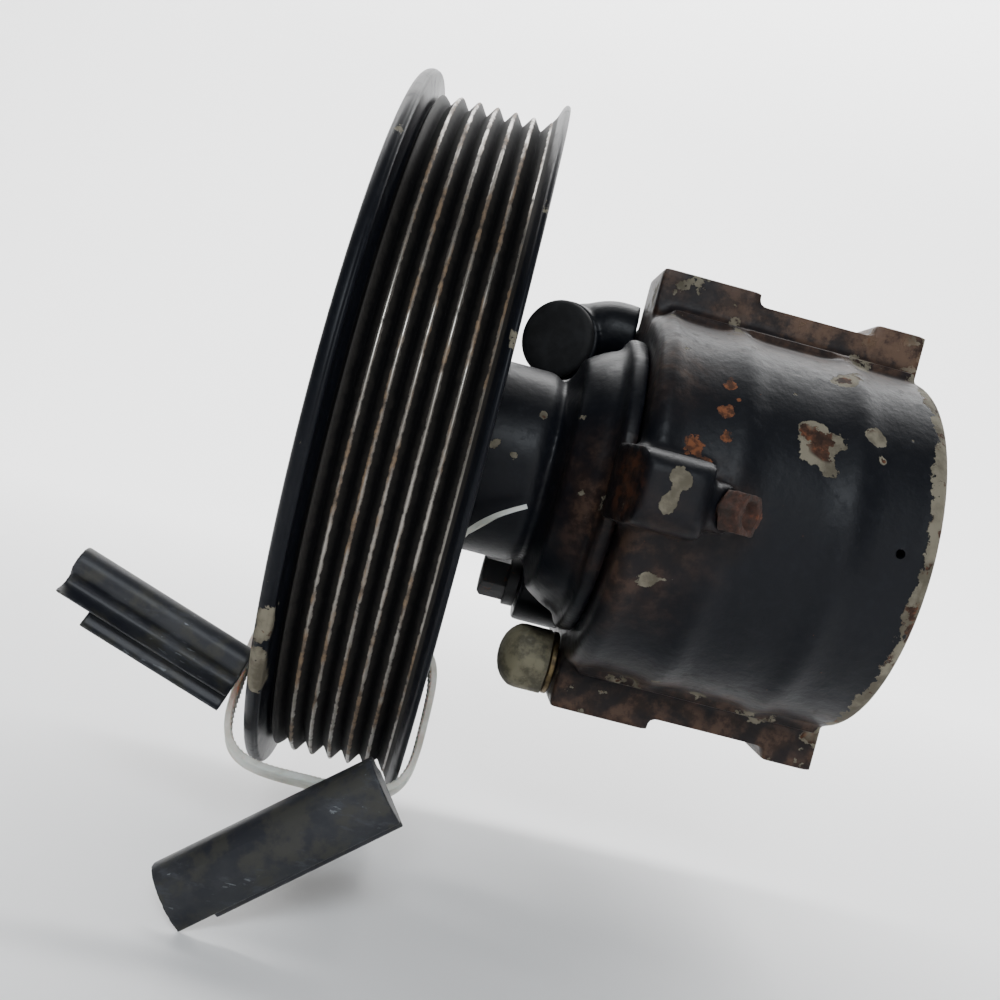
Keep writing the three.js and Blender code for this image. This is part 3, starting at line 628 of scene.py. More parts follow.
def rubber_finish(place):
    cloud = place.noise(260.0, 5.0, 0.6)
    speck = place.noise(2200.0, 2.0, 0.5)
    colour = cloud.step(0.35, 0.75).mix((0.0055, 0.0055, 0.006), (0.014, 0.0145, 0.0155))
    return {"Base Color": colour, "Roughness": 0.72 + 0.12 * cloud, "Metallic": 0.0,
            "height": speck * 0.5 + cloud, "depth": 0.05, "Specular IOR Level": 0.35}


def nylon_finish(place):
    cloud = place.noise(180.0, 4.0, 0.6)
    colour = cloud.step(0.35, 0.7).mix((0.56, 0.55, 0.50), (0.38, 0.365, 0.31))
    return {"Base Color": colour, "Roughness": 0.45 + 0.15 * cloud, "Metallic": 0.0,
            "height": cloud, "depth": 0.03, "Subsurface Weight": 0.15}


FINISH = {
    "cast_paint": cast_paint, "case_paint": case_paint, "cover_paint": cover_paint,
    "pulley_rim": rim_paint, "pulley_paint": pulley_paint, "shoe_paint": shoe_paint,
    "steel": finish("turned_steel", steel_finish), "zinc": finish("dull_zinc", zinc_finish),
    "rotor_alloy": finish("rotor_aluminium", rotor_finish),
    "rusty_steel": finish("rusted_bolt", rusty_bolt_finish),
    "bolt_black": finish("black_oxide", black_bolt_finish),
    "cap_olive": finish("olive_cap", cap_finish), "brass": finish("dull_brass", brass_finish),
    "rubber": finish("matte_rubber", rubber_finish),
    "nylon": finish("yellowed_nylon", nylon_finish)}
for piece in frame["record"]["subparts"]:
    mesh = NODES[piece["node"]].data
    mesh.materials.clear()
    mesh.materials.append(FINISH[piece["material_slot"]])
print("finishes:", len(FINISH))

# %% [markdown]
# ## The ribbed rim
# The rim is the eye-catcher, and its shape follows a rule: a plain ring whose outside is pushed
# in by a rounded triangle wave with one dip for each rib of the belt. The ring is turned here
# with close stations under the belt, and a Geometry Nodes tree presses the grooves in, so the
# number of ribs, the pitch and the depth stay three named inputs.

# %% groove tree
def tree_with(name, sockets):
    """An empty Geometry Nodes tree with these named number inputs, and its in and out nodes."""
    tree = bpy.data.node_groups.new(name, "GeometryNodeTree")
    tree.interface.new_socket("Geometry", in_out="INPUT", socket_type="NodeSocketGeometry")
    tree.interface.new_socket("Geometry", in_out="OUTPUT", socket_type="NodeSocketGeometry")
    for label, kind in sockets:
        tree.interface.new_socket(label, in_out="INPUT", socket_type=kind)
    return tree, tree.nodes.new("NodeGroupInput"), tree.nodes.new("NodeGroupOutput")


def run_tree(thing, tree, given):
    """Runs a tree on a piece with its inputs set by name, and keeps the mesh it makes."""
    step = thing.modifiers.new(tree.name, "NODES")
    step.node_group = tree
    for item in tree.interface.items_tree:
        if item.in_out == "INPUT" and item.name in given:
            step[item.identifier] = given[item.name]
    return settle(thing)


NUMBER, WHOLE = "NodeSocketFloat", "NodeSocketInt"
ribs, enter, leave = tree_with("press_belt_grooves", [
    ("Ribs", WHOLE), ("Pitch", NUMBER), ("Depth", NUMBER), ("Middle", NUMBER),
    ("Crest radius", NUMBER), ("Rounding", NUMBER), ("Finish", "NodeSocketMaterial")])


def part(tree, kind, settings, inputs, out=0):
    """Adds a node to a tree, sets it up and wires its inputs by number or name."""
    new = tree.nodes.new(kind)
    for key, setting in settings.items():
        setattr(new, key, setting)
    for key, given in inputs.items():
        if isinstance(given, bpy.types.NodeSocket):
            tree.links.new(given, new.inputs[key])
        else:
            new.inputs[key].default_value = given
    return new.outputs[out]


def sums(tree, operation, first, second=0.0, third=0.0):
    return part(tree, "ShaderNodeMath", {"operation": operation},
                {0: first, 1: second, 2: third})


where = part(ribs, "GeometryNodeInputPosition", {}, {})
split = part(ribs, "ShaderNodeSeparateXYZ", {}, {0: where}).node
squares = [sums(ribs, "MULTIPLY", split.outputs[i], split.outputs[i]) for i in (1, 2)]
radius = sums(ribs, "SQRT", sums(ribs, "ADD", *squares))
along = sums(ribs, "SUBTRACT", split.outputs[0], enter.outputs["Middle"])
half_pitch = sums(ribs, "MULTIPLY", enter.outputs["Pitch"], 0.5)
half = sums(ribs, "MULTIPLY", half_pitch, enter.outputs["Ribs"])
phase = sums(ribs, "DIVIDE", sums(ribs, "ADD", along, half), enter.outputs["Pitch"])
fold = sums(ribs, "ABSOLUTE", sums(ribs, "SUBTRACT", phase, sums(ribs, "ROUND", phase)))
wave = sums(ribs, "MULTIPLY", fold, 2.0)
rounded = sums(ribs, "SUBTRACT", sums(ribs, "SMOOTH_MAX", wave, enter.outputs["Rounding"],
                                      enter.outputs["Rounding"]), enter.outputs["Rounding"])
rounded = sums(ribs, "SMOOTH_MIN", rounded, 0.86, 0.12)
inside = sums(ribs, "LESS_THAN", sums(ribs, "ABSOLUTE", along), sums(ribs, "ADD", half, 0.00002))
below_crest = sums(ribs, "SUBTRACT", enter.outputs["Crest radius"], 0.5 * MM)
outside = sums(ribs, "GREATER_THAN", radius, below_crest)
press = sums(ribs, "MULTIPLY", sums(ribs, "MULTIPLY", rounded, enter.outputs["Depth"]),
             sums(ribs, "MULTIPLY", inside, outside))
shrink = sums(ribs, "DIVIDE", sums(ribs, "SUBTRACT", radius, press), radius)
moved = part(ribs, "ShaderNodeCombineXYZ", {}, {
    0: split.outputs[0], 1: sums(ribs, "MULTIPLY", split.outputs[1], shrink),
    2: sums(ribs, "MULTIPLY", split.outputs[2], shrink)})
pressed = part(ribs, "GeometryNodeSetPosition", {},
               {"Geometry": enter.outputs[0], "Position": moved})
pressed = part(ribs, "GeometryNodeRealizeInstances", {}, {0: pressed})
pressed = part(ribs, "GeometryNodeSetMaterial", {},
               {0: pressed, "Material": enter.outputs["Finish"]})
ribs.links.new(pressed, leave.inputs[0])

# %% [markdown]
# The ring itself: a rolled left flange with a round lip, a flat land beside the belt, the belt
# width with eleven stations to each rib, and a thin right flange. The inside is a plain band
# that the web is pressed into.

# %% turn the ring and press the grooves
def arc(cx, cr, r, start, end, steps):
    """Profile points on a circle about (cx, cr), from one angle to the other in degrees."""
    return [(cx + r * math.cos(math.radians(a)), cr + r * math.sin(math.radians(a)))
            for a in np.linspace(start, end, steps)]


belt_half = BELT["ribs"] * BELT["pitch"] / 2
root = BELT["crest"] - BELT["depth"]
left, right, outer = RIM["left"], RIM["right"], RIM["outer"]
profile = [(left + RIM["land"], RIM["inner"])]
profile += [(left + 1.6, RIM["inner"] + 0.6)]
profile += arc(left + 1.6, RIM["inner"] + 2.4, 1.6, 250, 180, 5)
profile += arc(left + 1.75, outer - 1.75, 1.75, 180, 80, 10)
profile += [(-belt_half - 2.2, outer - 0.15)] + arc(-belt_half - 2.1, outer - 0.75, 0.6, 85, 0, 5)
profile += [(-belt_half - 1.0, root + 1.1), (-belt_half - 0.6, root + 0.8),
            (-belt_half - 0.3, root + 1.3)]
profile += [(x, min(BELT["crest"], BELT["shoulder"] + max(0.0, x + belt_half) * 0.5))
            for x in np.linspace(-belt_half, belt_half, BELT["ribs"] * 14 + 1)]
profile += [(belt_half + 0.6, BELT["crest"] + 0.9), (right - 1.3, outer - 0.6)]
profile += arc(right - 0.6, outer - 0.55, 0.55, 150, 0, 6)
profile += [(right - 1.2, RIM["inner"] + 4.0), (right - 2.4, RIM["inner"] + 1.6),
            (belt_half - 1.0, RIM["inner"])]
rim = turned("belt_rim", profile, segments=300)
run_tree(rim, ribs, {"Ribs": BELT["ribs"], "Pitch": BELT["pitch"] * MM,
                     "Depth": BELT["depth"] * MM, "Middle": -REAR * MM,
                     "Crest radius": BELT["crest"] * MM, "Rounding": 0.10, "Finish": rim_paint})
put(rim, "drive_set", None, ["pulley_rim"], 60)

# %% [markdown]
# ## The web and the hub
# Behind the rim is a pressed disc with five round windows, and a turned hub that is bolted on.
# The windows are cut with rods and their edges bevelled.

# %% pulley web and hub
WINDOW_TURN, WINDOW_CIRCLE, WINDOW_R, WINDOWS = math.radians(-124), 43, 9.5, 5
HUB_CIRCLE, HUB_COUNT = 17.5, 4
HUB_BOLTS = [(HUB_CIRCLE * math.cos((i + 0.5) * math.pi / 2),
              HUB_CIRCLE * math.sin((i + 0.5) * math.pi / 2)) for i in range(HUB_COUNT)]
web = turned("pulley_web_disc", [
    (-3.3, 8.0), (-3.3, 29.4), (-2.9, 31.2), (0.2, 35.2), (0.7, 36.6), (0.7, 59.7), (3.7, 59.7),
    (3.7, 35.6), (3.2, 34.2), (0.1, 29.8), (-0.3, 28.6), (-0.3, 8.0)], segments=144)
holes = []
for i in range(WINDOWS):
    turn = WINDOW_TURN + i * 2 * math.pi / WINDOWS
    holes.append(rod("window", -5, 6, WINDOW_R, WINDOW_CIRCLE * math.cos(turn),
                     WINDOW_CIRCLE * math.sin(turn)))
holes += [rod("bolt_hole", -5, 1, 3.3, y, z, 32) for y, z in HUB_BOLTS]
cut(web, *holes)
bevelled(web, 0.5, 50)
put(web, "drive_set", pulley_paint, ["pulley_web"])

hub = turned("pulley_hub_turned", [
    (0.0, 7.3), (0.0, 23.4), (0.6, 24.0), (3.4, 24.0), (4.0, 23.4), (4.0, 13.2), (4.3, 12.2),
    (5.2, 11.5), (11.7, 11.5), (12.2, 11.0), (12.2, 7.3)], segments=128)
cut(hub, block("keyway", -1, 9.6, -1.8, 1.8, 6, 9),
    *[rod("bolt_hole", -1, 5, 2.8, y, z, 24) for y, z in HUB_BOLTS])
put(hub, "drive_set", pulley_paint, ["pulley_hub"])

# %% [markdown]
# ## Bolts
# One hexagon bolt is shaped once, with the rounded corners that a forged head has, and a
# Geometry Nodes tree sets a copy on each point it is given. The tree takes the bolt, the turn
# of its head and the finish.

# %% bolt tree and the pulley's fasteners
bolts, enter, leave = tree_with("set_bolts", [("Bolt", "NodeSocketObject"), ("Turn", NUMBER),
                                              ("Finish", "NodeSocketMaterial")])
model = part(bolts, "GeometryNodeObjectInfo", {}, {0: enter.outputs["Bolt"]}, out=4)
spin = part(bolts, "ShaderNodeCombineXYZ", {}, {0: enter.outputs["Turn"]})
copies = part(bolts, "GeometryNodeInstanceOnPoints", {}, {
    "Points": enter.outputs[0], "Instance": model, "Rotation": spin})
copies = part(bolts, "GeometryNodeRealizeInstances", {}, {0: copies})
copies = part(bolts, "GeometryNodeSetMaterial", {},
              {0: copies, "Material": enter.outputs["Finish"]})
bolts.links.new(copies, leave.inputs[0])


def hexagon(r):
    return [(r * math.cos(i * math.pi / 3), r * math.sin(i * math.pi / 3)) for i in range(6)]


def hex_bolt(name, head, corner, shank, shank_r, washer=0.0):
    """A bolt along X, with the top of its head at station REAR, so near the world's origin."""
    top = REAR
    body = pushed(name, hexagon(corner), "x", top, top + head)
    dome = turned("dome", [(top - 0.5, 0), (top - 0.5, corner * 0.72), (top, corner * 0.84),
                           (top + 0.8, corner * 1.02), (top + head + 1, corner * 1.02),
                           (top + head + 1, 0)], segments=48)
    combine(body, [dome], "INTERSECT")
    base = top + head
    stem = [(base - 0.2, 0), (base - 0.2, corner + 0.75), (base, corner + 0.8),
            (base + washer - 0.15, corner + 0.8), (base + washer, corner + 0.6),
            (base + washer, shank_r), (base + washer + shank, shank_r), (base + washer + shank, 0)]
    if not washer:
        stem = [(base - 0.5, 0), (base - 0.5, shank_r), (base + shank, shank_r), (base + shank, 0)]
    join(body, turned("stem", stem, segments=48))
    return bevelled(body, 0.22, 30)


def set_bolts(name, bolt, points, turn, material):
    spots = bpy.data.meshes.new(name)
    spots.from_pydata([tuple(p) for p in points], [], [])
    thing = bpy.data.objects.new(name, spots)
    scene.collection.objects.link(thing)
    return run_tree(thing, bolts, {"Bolt": bolt, "Turn": turn, "Finish": material})


hub_bolt = hex_bolt("hub_bolt_model", 4.6, 5.0, 7.6, 2.5)
hub_bolts = set_bolts("hub_bolts", hub_bolt, [point(-8.2, y, z) for y, z in HUB_BOLTS], 0.0,
                      FINISH["zinc"])
put(hub_bolts, "drive_set", None, [f"pulley_bolt_{i + 1}" for i in range(HUB_COUNT)])
bpy.data.objects.remove(hub_bolt)

nut = pushed("shaft_nut", hexagon(8.6), "x", -12.0, -5.7)
combine(nut, [turned("dome", [(-12.1, 0), (-12.1, 7.1), (-11.0, 8.8), (-6.2, 8.8), (-5.6, 8.0),
                              (-5.6, 0)], segments=64)], "INTERSECT")
cut(nut, turned("thread", [(-13, 0), (-13, 6.6), (-11.4, 5.3), (-5, 5.3), (-5, 0)], segments=48))
bevelled(nut, 0.2, 30)
put(nut, "drive_set", FINISH["zinc"], ["pulley_nut"])

washer = turned("shaft_washer", [(-5.4, 5.3), (-5.4, 9.7), (-5.1, 10.0), (-3.9, 10.0), (-3.6, 9.7),
                                 (-3.6, 5.3)], segments=96)
put(washer, "drive_set", FINISH["zinc"], ["pulley_washer"])

thread = []
for i in range(9):
    thread += [(-9.4 + i * 0.9, 5.0), (-8.95 + i * 0.9, 4.5)]
shaft = turned("turned_shaft", [
    (-10.5, 0), (-10.5, 4.1), (-9.9, 4.9), *thread, (-0.9, 5.0), (-0.6, 5.0), (-0.6, 6.8),
    (-0.4, 7.0), (12.8, 7.0), (12.8, 7.3), (13.0, 7.5), (40.9, 7.5), (40.9, 6.0), (95.3, 6.0),
    (95.5, 5.8), (95.5, 0)], segments=96)
cut(shaft, block("keyway", 1, 9.3, -1.8, 1.8, 4.9, 8))
put(shaft, "drive_set", FINISH["steel"], ["drive_shaft"])

# %% [markdown]
# ## The drum
# The rotor case is two lathe drums carried straight across, with three raised rings. The rails,
# their pads and the clamp lug are added, ports and screw holes are cut, and the whole is rebuilt
# from voxels so that the corners between drum, rails and lug fill in as they do in a sand mould.

# %% cast the rotor case
CRESTS = (43.0, 58.6, 80.8)
DRUM_R, CREST = 37.1, 0.9


def drum_radius(x):
    return DRUM_R + sum(CREST * math.exp(-((x - c) / 3.0) ** 2) for c in CRESTS)


def two_lobes(name, profile, segments=128, straight=True):
    """The same profile turned about both shafts, and carried straight across between them."""
    body = turned(name, profile, segments=segments)
    others = [turned("lobe", profile, CENTRES, segments=segments)]
    if straight:
        across = [(x, r) for x, r in profile] + [(x, -r) for x, r in reversed(profile[1:-1])]
        spots = [point(x, 0, r) for x, r in across] + [point(x, CENTRES, r) for x, r in across]
        others.append(make("across", spots, skin(len(across), 2)))
    return join(body, *others)


CLAMP_SEAT, CLAMP_LEAN = point(57.0, -42.2, 1.0), math.radians(-44)


def at_clamp(thing):
    """Moves a piece made about the X axis, from station 0, onto the clamp bolt's own axis."""
    thing.data.transform(Matrix.Translation(CLAMP_SEAT) @ Matrix.Rotation(CLAMP_LEAN, 4, "Z")
                         @ Matrix.Translation(-point(0, 0, 0)))
    return thing


profile = [(41.0, 0), (41.0, 34.6)] + arc(43.0, 35.4, 1.9, 180, 100, 4)
profile += [(x, drum_radius(x)) for x in np.linspace(44.0, 94.6, 64)]
profile += arc(95.4, 34.4, 2.9, 82, 10, 8) + [(98.3, 34.4), (98.3, 0)]
drum = two_lobes("drum_casting", profile)

rail_outline = [(47.5, 43.0), (41.0, 16.0), (41.0, -1.0)]
adds, cuts = [], []
for side in (1, -1):
    def span(z0, z1):
        return (z0, z1) if side > 0 else (-z1, -z0)
    adds.append(pushed("rail", rail_outline + [(98.3, -1), (98.3, 43)], "z", *span(30, 44.8)))
    adds.append(pushed("pad", rail_outline + [(62.3, -1), (62.3, 43)], "z", *span(44, 47.5)))
    adds.append(pushed("pad", [(87.3, -1), (98.3, -1), (98.3, 43), (87.3, 43)], "z",
                       *span(44, 47.5)))
    # a sloping shoulder runs from the drum up to each rail
    adds.append(pushed("shoulder", [(44.5, -6.5), (96.0, -6.5), (96.0, 0), (44.5, 0)], "z",
                       *span(30, 38.6)))
    cuts.append(block("port", 55, 85, 9, 33, *span(18, 49)))
join(drum, *adds)
lug = pushed("lug", [(36.8, -31.6), (42.0, -31.6), (43.0, -33.0), (53.2, -34.0),
                     (53.2, -44.6), (52.7, -46.2), (51.4, -47.4), (41.6, -47.4),
                     (40.6, -46.4)][::-1], "z", -5.8, 8.4)
half_section = [(-28, 7.1), (-42.4, 7.1), (-44.2, 6.8), (-45.7, 6.1), (-46.8, 5.0), (-47.4, 3.8)]
section = [(y, 1.3 + z) for y, z in half_section] + [(y, 1.3 - z) for y, z in half_section[::-1]]
combine(lug, [pushed("section", section, "x", 35, 55)], "INTERSECT")
join(drum, lug, at_clamp(rod("boss", -9, 0, 4.6)))
bore = two_lobes("bore", [(49.3, 0), (49.3, 31.8), (91.3, 31.8), (91.3, 0)], 96, False)


def cover_shape(name, r, grow, x0, x1):
    plate = two_lobes(name, [(x0, 0), (x0, r), (x1, r), (x1, 0)], 96)
    return join(plate, block("tab", x0, x1, 5 - grow, 37 + grow, -44 - grow, 44 + grow))


cuts += [bore, cover_shape("pocket", 33.6, 0.5, 90.0, 99.0)]
cuts += [rod("bearing_seat", 40, 47.8, 14, y) for y in (0, CENTRES)]
cuts += [rod("shaft_hole", 47, 50, 9.5, y) for y in (0, CENTRES)]
cuts.append(at_clamp(rod("clamp_hole", -8, 1, 2.8, segments=32)))
cut(drum, *cuts)
cast(drum, 0.80, 4)


# %% [markdown]
# The drilled and tapped holes are cut after the voxels, so that they keep crisp edges, as holes
# that were machined into a rough casting do.

# %% drill the casting
def drilled(x, y, z, r, depth, axis, segments=32):
    """A rod for drilling, centred on a point and pointing along 'y' or 'z'."""
    tool = rod("drill", REAR - depth / 2, REAR + depth / 2, r, segments=segments)
    turn = Matrix.Rotation(math.pi / 2, 4, "Z" if axis == "y" else "Y")
    tool.data.transform(Matrix.Translation(point(x, y, z)) @ turn)
    return tool


tools = [drilled(x, y, side * 44.5, 2.5, 8, "z") for x in (50, 93) for y in (3.4, 38.6)
         for side in (1, -1)]
tools.append(drilled(90.8, -35, 1.4, 0.9, 10, "y", 20))
LOW_BOLT = (21.0, -25.5)
OTHER_BOLTS = [(38.5, 31.5), (64.8, 22.8), (64.8, -22.8)]
tools += [rod("bolt_hole", 39, 48, 2.9, y, z, 24) for y, z in [LOW_BOLT, *OTHER_BOLTS]]
tools.append(rod("cap_hole", 39, 44, 4.0, 9, -40, 32))
SCREWS = [(12, 40.2), (30, 40.2), (12, -40.2), (30, -40.2)]
tools += [rod("screw_hole", 86.8, 92, 2.5, y, z, 24) for y, z in SCREWS]
cut(drum, *tools)
put(drum, "housing", cast_paint, ["rotor_case"], 40)

# %% [markdown]
# ## The rear cover
# A flat plate with two tabs closes the bore, flush with the casting, and four countersunk
# socket screws hold it.

# %% rear cover and its screws
cover = cover_shape("rear_cover_plate", 33.1, 0, 90.3, 98.3)
cut(cover, *[rod("bearing_pocket", 89, 96.2, 12, y) for y in (0, CENTRES)],
    *[rod("screw_hole", 89, 99, 2.5, y, z, 24) for y, z in SCREWS],
    *[turned("countersink", [(95, 0), (95, 2.4), (98.4, 4.5), (98.4, 0)], y, z, 40)
      for y, z in SCREWS])
bevelled(cover, 0.45, 40)
put(cover, "housing", cover_paint, ["rear_cover"])
for i, (y, z) in enumerate(SCREWS):
    screw = turned(f"socket_screw_{i + 1}", [(87.4, 0), (87.4, 2.0), (87.6, 2.2), (95, 2.2),
                                            (97.5, 3.85), (97.7, 3.9), (97.7, 0)], y, z, 48)
    socket = pushed("socket", [(y + u, z + v) for u, v in hexagon(1.8)], "x", 96, 99)
    cut(screw, socket)
    put(screw, "housing", FINISH["zinc"], [f"cover_screw_{i + 1}"])

# %% [markdown]
# ## The gear case and its snout
# The snout is a smooth barrel with a rounded shoulder. Behind it the gear case swells out in
# two lobes to a thin flange, with a block at the back and a boss for each bolt. It is cast like
# the drum, from slightly smaller voxels.

# %% cast the gear case
snout = turned("gear_casting", [(12.5, 0), (12.5, 19.2), (12.8, 19.9), (13.5, 20.2)]
               + arc(23.5, 16.4, 3.8, 90, 0, 8) + [(27.3, 16.0), (30.3, 16.0), (30.3, 0)],
               segments=128)
shell = two_lobes("shell", [(29.3, 0), (29.3, 22.6), (29.7, 24.4), (30.9, 25.3), (33.5, 26.9),
                            (35.2, 27.7), (36.4, 28.0), (37.4, 29.6), (37.8, 31.0), (40.7, 31.0),
                            (40.7, 0)], 112, False)
neck = turned("neck", [(26.4, 0), (26.4, 18.0), (27.6, 19.2), (28.6, 21.0), (29.6, 23.0),
                       (31.0, 23.5), (31.0, 0)], segments=96)
parts = [shell, neck, block("bridge", 31, 40.7, 8, 34, -21, 21),
         rod("boss", 30, 40.7, 8.6, *LOW_BOLT)]
parts += [rod("boss", 33.2, 40.7, 5.4, y, z) for y, z in OTHER_BOLTS]
join(snout, *parts)
cut(snout, two_lobes("cavity", [(33, 0), (33, 24.3), (41.7, 24.3), (41.7, 0)], 96, False),
    rod("bore", 11.5, 26.9, 17.5, segments=96), rod("bore", 26, 34, 11),
    turned("groove", [(17.9, 15), (17.9, 18.4), (18.9, 18.4), (18.9, 15)], segments=96))
cast(snout, 0.62, 4)
cut(snout, *[rod("bolt_hole", 28, 42, 2.9, y, z, 24) for y, z in [LOW_BOLT, *OTHER_BOLTS]])
put(snout, "housing", case_paint, ["gear_case"], 50)

low = hex_bolt("low_bolt_model", 6.2, 5.2, 16.0, 2.6, 2.4)
low_bolt = set_bolts("low_case_bolt", low, [point(30 - 0.3 - 8.6, *LOW_BOLT)], 0.3,
                     FINISH["bolt_black"])
put(low_bolt, "housing", None, ["case_bolt_1"])
small = hex_bolt("case_bolt_model", 4.0, 4.2, 12.8, 2.6, 1.0)
case_bolts = set_bolts("gear_case_bolts", small, [point(33.2 - 5.3, y, z) for y, z in OTHER_BOLTS],
                       0.5, FINISH["bolt_black"])
put(case_bolts, "housing", None, [f"case_bolt_{i + 2}" for i in range(3)])
for model in (low, small):
    bpy.data.objects.remove(model)

# %% [markdown]
# ## The elbow stub and its bung
# A short tube bends out of the case towards the pulley and ends in a lip, which a rubber bung
# closes. The tube is a round section carried along a curve.

# %% bend the elbow
def along_path(name, route, sections, steps, section=None, sides=40, up=Vector((0, 0, 1))):
    """Carries a section along a smooth curve; sections gives (width, height) at each share."""
    points = [Vector(p) for p in route]
    ends = [2 * points[0] - points[1], *points, 2 * points[-1] - points[-2]]
    line = []
    for s in range(steps + 1):
        t = s / steps * (len(points) - 1)
        i = min(int(t), len(points) - 2)
        f = t - i
        a, b, c, d = ends[i:i + 4]
        line.append(0.5 * ((2 * b) + (c - a) * f + (2 * a - 5 * b + 4 * c - d) * f * f
                           + (3 * b - a - 3 * c + d) * f ** 3))
    outline = section or [(math.cos(2 * math.pi * k / sides), math.sin(2 * math.pi * k / sides))
                          for k in range(sides)]
    verts = []
    for s, p in enumerate(line):
        ahead = (line[min(s + 1, steps)] - line[max(s - 1, 0)]).normalized()
        side = ahead.cross(up).normalized()
        over = side.cross(ahead)
        w, h = sections(s / steps)
        verts += [point(*(p + side * u * w + over * v * h)) for u, v in outline]
    return make(name, verts, skin(len(outline), steps + 1))


MOUTH, MOUTH_TURN = (24.8, 18.0, 29.4), math.radians(239)


def at_mouth(thing):
    """Moves a piece that was turned about X at station REAR so that it points out of the mouth."""
    thing.data.transform(Matrix.Translation(point(*MOUTH)) @ Matrix.Rotation(MOUTH_TURN, 4, "Z"))
    return thing


def from_mouth(name, profile, segments=80):
    return at_mouth(turned(name, [(x + REAR, r) for x, r in profile], segments=segments))


elbow = along_path("elbow_stub", [(40.7, 21, 34), (36, 21.2, 34), (31.5, 22.4, 32.3),
                                  (27.6, 22.7, 30.1)], lambda t: (7.5, 7.5), 24)
ball = turned("bulge", [(30.5 + 7.8 * math.cos(a), 7.8 * math.sin(a))
                        for a in np.linspace(math.pi, 0, 17)], 22.3, 31.8, 48)
join(elbow, ball, from_mouth("lip", [(-6, 0), (-6, 6.6), (-2.6, 7.6), (-1.9, 8.9), (-1.3, 9.1),
                                     (-0.3, 9.1), (0, 8.8), (0, 0)]))
cut(elbow, from_mouth("bore", [(-5, 0), (-5, 5.9), (1, 5.9), (1, 0)]),
    from_mouth("beyond", [(0, 0), (0, 14), (8, 14), (8, 0)]))
cast(elbow, 0.42, 3)
put(elbow, "housing", case_paint, ["inlet_elbow"], 60)
bung = from_mouth("rubber_bung", [(-4.4, 0), (-4.4, 5.0), (-4.1, 5.2), (0.3, 5.6), (0.3, 8.3),
                                  (0.6, 8.7), (1.6, 8.7), (2.1, 8.35), (2.4, 7.8), (2.6, 7.2),
                                  (2.5, 5.0), (2.35, 0)])
put(bung, "housing", FINISH["rubber"], ["elbow_bung"])

# %% [markdown]
# ## The relief cap and the clamp bolt
# The cap is a dome with six flats, so it is a dome and a hexagon where they overlap. The clamp
# bolt has a recessed head; it is rebuilt from voxels and roughened a little, because rust has
# eaten its corners.

# %% cap and clamp bolt
CAP = (9.0, -40.0)
cap = turned("dome_cap", [(28.5, 0), (28.55, 1.4), (28.8, 2.6), (29.3, 4.0), (30.1, 5.2),
                          (31.0, 6.1), (32.1, 6.8), (33.5, 7.2), (39.1, 7.2), (39.1, 0)],
             *CAP, segments=96)
combine(cap, [pushed("flats", [(CAP[0] + u, CAP[1] + v) for u, v in hexagon(7.75)], "x", 27, 44)],
        "INTERSECT")
join(cap, rod("stem", 39.0, 43.1, 3.6, *CAP))
bevelled(cap, 0.3, 18)
put(cap, "housing", FINISH["cap_olive"], ["relief_cap"], 40)
seal = turned("cap_washer", [(39.4, 3.9), (39.4, 6.6), (39.6, 6.8), (40.4, 6.8), (40.6, 6.6),
                             (40.6, 3.9)], *CAP, segments=64)
put(seal, "housing", FINISH["brass"], ["relief_cap_washer"])

clamp = pushed("clamp_bolt", hexagon(4.25), "x", 0.3, 4.95)
cut(clamp, turned("recess", [(2.9, 0), (2.9, 1.9), (5.5, 2.7), (5.5, 0)], segments=32))
join(clamp, rod("shank", -7, 0.4, 2.5, segments=40))
at_clamp(clamp)
cast(clamp, 0.20, 4)
pitted = clamp.modifiers.new("pits", "DISPLACE")
pits = bpy.data.textures.new("pits", "CLOUDS")
pits.noise_scale = 0.0016
pitted.texture, pitted.strength, pitted.mid_level = pits, 0.0005, 0.75
settle(clamp)
put(clamp, "housing", FINISH["rusty_steel"], ["lug_bolt"], 60)

# %% [markdown]
# ## The tied-on strips
# One strip has a rolled bead and a flared lip, the other a rounded back, and each has a flat
# layer folded behind it. The section is carried along a straight line with its outward side
# turned to face one way, and the far end is hollowed, so that the bent sheet is seen there.

# %% press the strips
LAYER_START = 6.0     # the folded layer begins this far along
HOLLOW_DEPTH = 9.0    # and the hollow reaches this far in


def carried(name, section, a, b, facing, start):
    """Carries a section of (across, outward) points from a to b, beginning start mm along."""
    x = (b - a).normalized()
    outward = (facing - x * x.dot(facing)).normalized()
    side = outward.cross(x)
    steps, first = 20, a + x * start
    verts = [point(*(first + (b - first) * (s / steps) + outward * v + side * u))
             for s in range(steps + 1) for u, v in section]
    return make(name, verts, skin(len(section), steps + 1))


def strip(name, sheet, layer, start, end, facing, hollow, node):
    """A pressed sheet with a layer folded behind it; hollow is cut into its far end."""
    a, b, facing = Vector(start), Vector(end), Vector(facing)
    thing = join(carried(name, sheet, a, b, facing, 0.0),
                 carried("layer", layer, a, b, facing, LAYER_START))
    along = (b - a).normalized()
    cut(thing, carried("hollow", hollow, a - along * 2, a + along * HOLLOW_DEPTH, facing, 0.0))
    cast(thing, 0.25, 3)
    return put(thing, "drive_set", shoe_paint, [node], 40)


